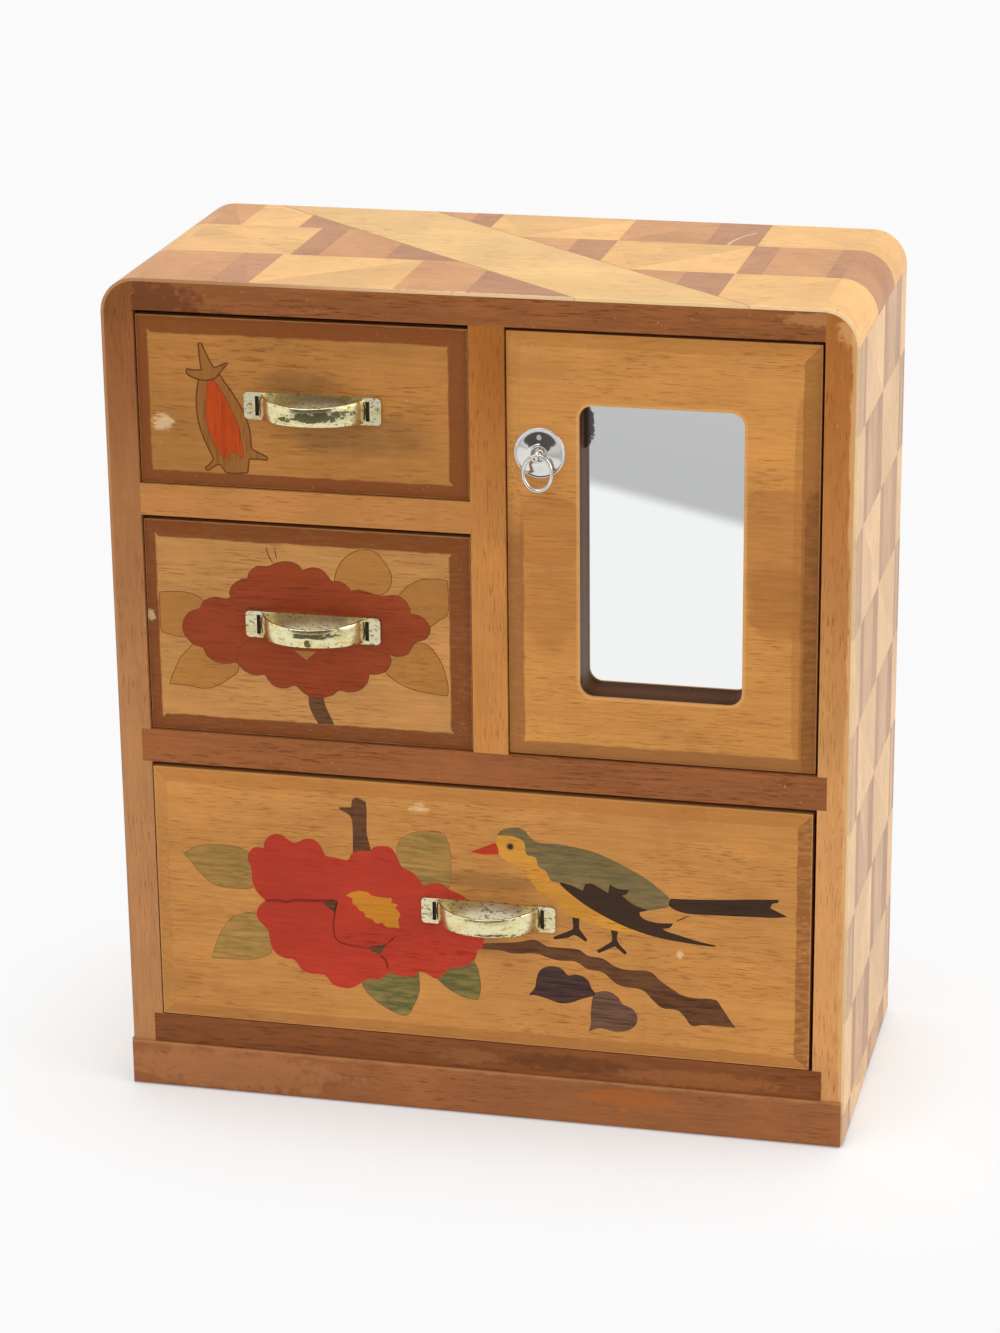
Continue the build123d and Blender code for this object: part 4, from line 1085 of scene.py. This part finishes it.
MIRROR_SPOT = (33.4, 236.0, 3.6, 7.4)
paint("door_mirror", mirror_material())
for node in ("back_nails", "backing_tacks", "catch_disc"):
    paint(node, STEEL)
paint("door_pins", plain_metal("dark_pin", linear(96, 84, 72), 0.45, 57.0))
paint("catch_magnet", plain_metal("magnet", linear(90, 88, 86), 0.4, 56.0))
paint("pull_nail", NICKEL)
ease_all("pull_nail", 0.2, 3)

BOW_THICK = 1.0
BOW_END_HEIGHT = 7.8
BOW_MIDDLE_HEIGHT = 6.0
BOW_STEPS = 64
BOW_EDGE = 0.3              # rounding of the strap's long edges
BOW_CROWN = 0.32            # how far its long edges lie behind its middle


def bow(drawer):
    """The bowed strap of a handle, its long edges rounded."""
    low, high = box_mm(f"{drawer}_handle_bow")
    middle_x, middle_z = (low[0] + high[0]) / 2, (low[2] + high[2]) / 2
    foot_y = high[1]
    reach = high[1] - low[1]
    half_span = (high[0] - low[0]) / 2
    radius = (half_span**2 + reach**2) / (2 * reach)
    swing = math.asin(half_span / radius) if reach < half_span else math.pi - math.asin(half_span / radius)
    spread = [1.0 - step / 4 for step in range(9)]
    section = [(-BOW_CROWN * s * s, s, -s * BOW_EDGE) for s in spread]
    section += [(-BOW_CROWN - BOW_EDGE * 0.3, -1.0, BOW_EDGE * 0.3), (-BOW_CROWN - BOW_EDGE, -1.0, 0.0),
                (-BOW_THICK + BOW_EDGE * 0.4, -1.0, 0.0), (-BOW_THICK, -1.0, BOW_EDGE)]
    section += [(u, -s, -w) for u, s, w in section[:8:-1]]
    vertices = []
    for step in range(BOW_STEPS + 1):
        angle = swing * (2 * step / BOW_STEPS - 1)
        outward = Vector((math.sin(angle), -math.cos(angle), 0))
        centre = Vector((middle_x, foot_y - reach + radius, middle_z))
        share = abs(math.sin(angle) * radius / half_span)
        half_height = (BOW_MIDDLE_HEIGHT + (BOW_END_HEIGHT - BOW_MIDDLE_HEIGHT) * share**2) / 2
        for u, s, w in section:
            point = centre + outward * (radius + u) + Vector((0, 0, half_height * s + w))
            vertices.append((point.x, min(point.y, foot_y), point.z))
    ring = len(section)
    faces = skin(BOW_STEPS + 1, ring)
    faces.append(tuple(range(ring)))
    faces.append(tuple(range(BOW_STEPS * ring + ring - 1, BOW_STEPS * ring - 1, -1)))
    brass = brass_material(f"{drawer}_brass", BOW_TONE, BOW_GRIME_AND_REFLECTION, 0.6, 51.0 + middle_z,
                           patches=BOW_REFLECTIONS_AND_TARNISH[drawer], middle=(middle_x, middle_z), edge=BOW_MIDDLE_HEIGHT / 2)
    made = piece_from(f"{drawer}_bow", vertices, faces, brass, drawer, smooth=True)
    edge_split = made.modifiers.new("sharp_ends", "EDGE_SPLIT")
    edge_split.split_angle = math.radians(50)
    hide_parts(f"{drawer}_handle_bow")


for drawer in DRAWERS:
    paint(f"{drawer}_handle_plate", PLATE_BRASS)
    ease_all(f"{drawer}_handle_plate", 0.45, 3)
    paint(f"{drawer}_handle_brads", BRAD_BRASS)
    ease_all(f"{drawer}_handle_brads", 0.15, 2)
    bow(drawer)

# A dark piece behind each slot of a handle's plate: painted shade in the slot, with dirt.
SLOT_HALF = (1.5, 3.4)
SLOT_OUT = 0.65             # its middle lies this far outside the bow's end
for drawer in DRAWERS:
    low, high = box_mm(f"{drawer}_handle_bow")
    for side, slot_x in (("left", low[0] - SLOT_OUT), ("right", high[0] + SLOT_OUT)):
        slot_z = (low[2] + high[2]) / 2
        corners = [Vector((slot_x + u * SLOT_HALF[0], slot_z + w * SLOT_HALF[1]))
                   for u, w in ((-1, -1), (1, -1), (1, 1), (-1, 1))]
        inlay(f"{drawer}_slot_{side}", corners, FACE_Y[drawer], 8, SLOT_SHADE_AND_DIRT, drawer)

# The ring pull: a domed plate with a rolled rim, a collar, the eye and the hanging ring.
PLATE_LOW, PLATE_HIGH = box_mm("pull_plate")
PULL_X = (PLATE_LOW[0] + PLATE_HIGH[0]) / 2
PULL_Z = (PLATE_LOW[2] + PLATE_HIGH[2]) / 2
PLATE_RADIUS = (PLATE_HIGH[0] - PLATE_LOW[0]) / 2
pull_plate = lathe("ring_plate", (
    (0.6, 0.0), (0.6, 1.2), (1.7, 1.22), (2.1, 1.28), (2.45, 1.46), (2.8, 1.46), (3.1, 1.28), (3.35, 1.16),
    (4.3, 0.95), (5.2, 0.73), (6.3, 0.46), (7.2, 0.27), (7.45, 0.29), (7.7, 0.4), (7.95, 0.4), (8.1, 0.28),
    (PLATE_RADIUS, 0.14), (PLATE_RADIUS, 0.0), (0.6, 0.0),
), (PULL_X, FRONT_Y, PULL_Z), (0, -1, 0), NICKEL, "door")
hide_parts("pull_plate")

EYE_LOW, EYE_HIGH = box_mm("pull_eye")
EYE_WIRE = 0.5
EYE_Y = EYE_LOW[1] + (EYE_HIGH[2] - EYE_LOW[2]) / 2
EYE_RADIUS = (EYE_HIGH[2] - EYE_LOW[2]) / 2 - EYE_WIRE
pull_eye = ring_tube("ring_eye", (PULL_X, EYE_Y, PULL_Z), EYE_RADIUS, EYE_RADIUS, EYE_WIRE, "x",
                     NICKEL, "door", turns=48, sides=16)
eye_shank = lathe("eye_shank", (
    (0.0, 0.0), (0.75, 0.0), (0.75, 0.5), (0.55, 1.1), (0.55, 5.5), (0.0, 5.5),
), (PULL_X, EYE_Y + EYE_RADIUS, PULL_Z), (0, 1, 0), NICKEL, "door", turns=32)
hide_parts("pull_eye")

RING_LOW, RING_HIGH = box_mm("pull_ring")
RING_WIRE = 0.6
ring = ring_tube(
    "hanging_ring",
    (PULL_X, EYE_Y, (RING_LOW[2] + RING_HIGH[2]) / 2),
    (RING_HIGH[0] - RING_LOW[0]) / 2 - RING_WIRE,
    (RING_HIGH[2] - RING_LOW[2]) / 2 - RING_WIRE,
    RING_WIRE, "y", NICKEL, "pull_ring",
)
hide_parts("pull_ring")


# ------------------------------------------------------------------ small eased edges
for node in PLINTH_RAILS:
    ease_all(node, 0.4, 2)


# ------------------------------------------------------------------ floor, light and camera
CASE_HALF = (120.0, 57.0)       # the case's half width and half depth
SHADOW_REACH = 95.0             # the floor's shadow ends this far from the case
PAPER = linear(250, 250, 250)
FILL_STRENGTH = 0.72            # the world's even light on the object


def floor_material():
    """A white sheet that keeps the shadow near the object."""
    g = Graph("floor_paper")
    g.finish(PAPER, 0.85)
    g.shader.inputs["Specular IOR Level"].default_value = SHEEN
    glow = g.node("ShaderNodeEmission", ((0, PAPER),))
    paths = g.node("ShaderNodeLightPath")
    seen = g.larger(paths.outputs["Is Camera Ray"], paths.outputs["Is Glossy Ray"])
    seen = g.larger(seen, paths.outputs["Is Transmission Ray"])
    reach = g.past_box(g.axis(0), g.axis(1), *CASE_HALF)
    share = g.times(seen, g.span(reach, -SHADOW_REACH / 2, SHADOW_REACH))
    both = g.node("ShaderNodeMixShader", ((0, share), (1, g.shader.outputs[0]), (2, glow.outputs[0])))
    g.tree.links.new(both.outputs[0], g.output.inputs[0])
    return g.material


def sheet(name, corners, material):
    """A flat sheet of the studio."""
    mesh = bpy.data.meshes.new(name)
    mesh.from_pydata([tuple(c * MM for c in corner) for corner in corners], [], [(0, 1, 2, 3)])
    made = shown_object(name, mesh, material)
    return made


FLOOR_HALF = 3000.0
FLOOR_DROP = 0.2            # keeps the floor clear of the plinth's underside
floor = sheet("floor", [(u * FLOOR_HALF, w * FLOOR_HALF, 0) for u, w in ((-1, -1), (1, -1), (1, 1), (-1, 1))],
              floor_material())
floor.location.z = -FLOOR_DROP * MM


def studio_world():
    """Even studio light; camera, glossy and transmission rays see a white background."""
    world = bpy.data.worlds.new("studio")
    world.use_nodes = True
    tree = world.node_tree
    tree.nodes.clear()
    output = tree.nodes.new("ShaderNodeOutputWorld")
    seen = tree.nodes.new("ShaderNodeBackground")
    seen.inputs["Color"].default_value = PAPER
    seen.inputs["Strength"].default_value = 1.0
    fill = tree.nodes.new("ShaderNodeBackground")
    fill.inputs["Color"].default_value = (1.0, 1.0, 1.0, 1.0)
    fill.inputs["Strength"].default_value = FILL_STRENGTH
    paths = tree.nodes.new("ShaderNodeLightPath")
    total = paths.outputs["Is Camera Ray"]
    for name in ("Is Glossy Ray", "Is Transmission Ray"):
        add = tree.nodes.new("ShaderNodeMath")
        add.operation = "MAXIMUM"
        tree.links.new(total, add.inputs[0])
        tree.links.new(paths.outputs[name], add.inputs[1])
        total = add.outputs[0]
    mix = tree.nodes.new("ShaderNodeMixShader")
    tree.links.new(total, mix.inputs[0])
    tree.links.new(fill.outputs[0], mix.inputs[1])
    tree.links.new(seen.outputs[0], mix.inputs[2])
    tree.links.new(mix.outputs[0], output.inputs[0])
    bpy.context.scene.world = world


studio_world()


LIT_PLACE = (0.0, 0.0, 0.12)    # the lamps point at the middle of the chest


def area_light(name, place, size, power):
    """A square lamp; place and size in metres, power in watts."""
    data = bpy.data.lights.new(name, "AREA")
    data.shape = "SQUARE"
    data.size = size
    data.energy = power
    lamp = bpy.data.objects.new(name, data)
    lamp.location = place
    lamp.rotation_mode = "QUATERNION"
    lamp.rotation_quaternion = (Vector(LIT_PLACE) - Vector(place)).to_track_quat("-Z", "Y")
    bpy.context.scene.collection.objects.link(lamp)


area_light("key", (-0.7, -1.3, 1.5), 1.2, 6.0)
area_light("top", (0.1, 0.1, 1.7), 1.4, 8.0)
area_light("side", (1.6, -0.2, 0.9), 1.2, 10.0)


def reflected_only(name, corners, material):
    """A sheet that only reflections see."""
    card = sheet(name, corners, material)
    card.visible_camera = False
    card.visible_diffuse = False
    card.visible_shadow = False


def dark_flag():
    """A dark room before the chest, so that polished metal shows some contrast."""
    low, high, half, depth = 140.0, 2200.0, 1600.0, -1900.0
    g = Graph("flag_cloth")
    corners = [(-half, depth, low), (half, depth, low), (half, depth, high), (-half, depth, high)]
    reflected_only("flag", corners, g.finish(linear(84, 78, 76), 1.0))


SHEET_END = (681.0, -0.63)      # the white sheet ends where y + first + second * x is 0
SHEET_LAP = 20.0                # the grey sheet runs on this far under the white one's soft edge


def grey_floor():
    """The grey floor before the white sheet, which shows in the mirror."""
    g = Graph("grey_floor")
    x, y = g.axis(0), g.axis(1)
    line = g.plus(y, g.plus(SHEET_END[0], g.times(x, SHEET_END[1])))
    grey = g.mix(g.span(line, -700.0, -40.0), linear(222, 222, 221), linear(194, 194, 194))
    glow = g.node("ShaderNodeEmission", ((0, grey),))
    clear = g.node("ShaderNodeBsdfTransparent")
    both = g.node("ShaderNodeMixShader",
                  ((0, g.span(line, -12.0, 12.0)), (1, glow.outputs[0]), (2, clear.outputs[0])))
    g.tree.links.new(both.outputs[0], g.output.inputs[0])
    half, far, rise = 1500.0, -3000.0, 0.3
    near_left, near_right = (-SHEET_END[0] + SHEET_END[1] * u + SHEET_LAP for u in (half, -half))
    reflected_only("grey_floor", [(-half, far, rise), (half, far, rise), (half, near_right, rise),
                                  (-half, near_left, rise)], g.material)


dark_flag()
grey_floor()

# The photo's camera, solved on the case's corners: lens in mm, place in metres, and its three axes.
LENS, SENSOR_WIDTH = 101.54, 36.0
CAMERA_PLACE = (0.26583, -1.14009, 0.55154)
CAMERA_RIGHT = (0.97397334, 0.22642261, -0.01042726)
CAMERA_UP = (-0.06545694, 0.32501529, 0.94344075)
CAMERA_BACK = (0.21700533, -0.91820361, 0.33137716)


def photo_camera():
    """The camera of the main view."""
    data = bpy.data.cameras.new("camera")
    data.lens = LENS
    data.sensor_width = SENSOR_WIDTH
    data.sensor_fit = "AUTO"
    data.dof.use_dof = False
    data.clip_start = 0.05
    data.clip_end = 20.0
    camera = bpy.data.objects.new("camera", data)
    turn = Matrix((CAMERA_RIGHT, CAMERA_UP, CAMERA_BACK)).transposed().to_4x4()
    camera.matrix_world = Matrix.Translation(CAMERA_PLACE) @ turn
    bpy.context.scene.collection.objects.link(camera)
    bpy.context.scene.camera = camera


photo_camera()

bpy.context.scene.view_settings.view_transform = "Standard"
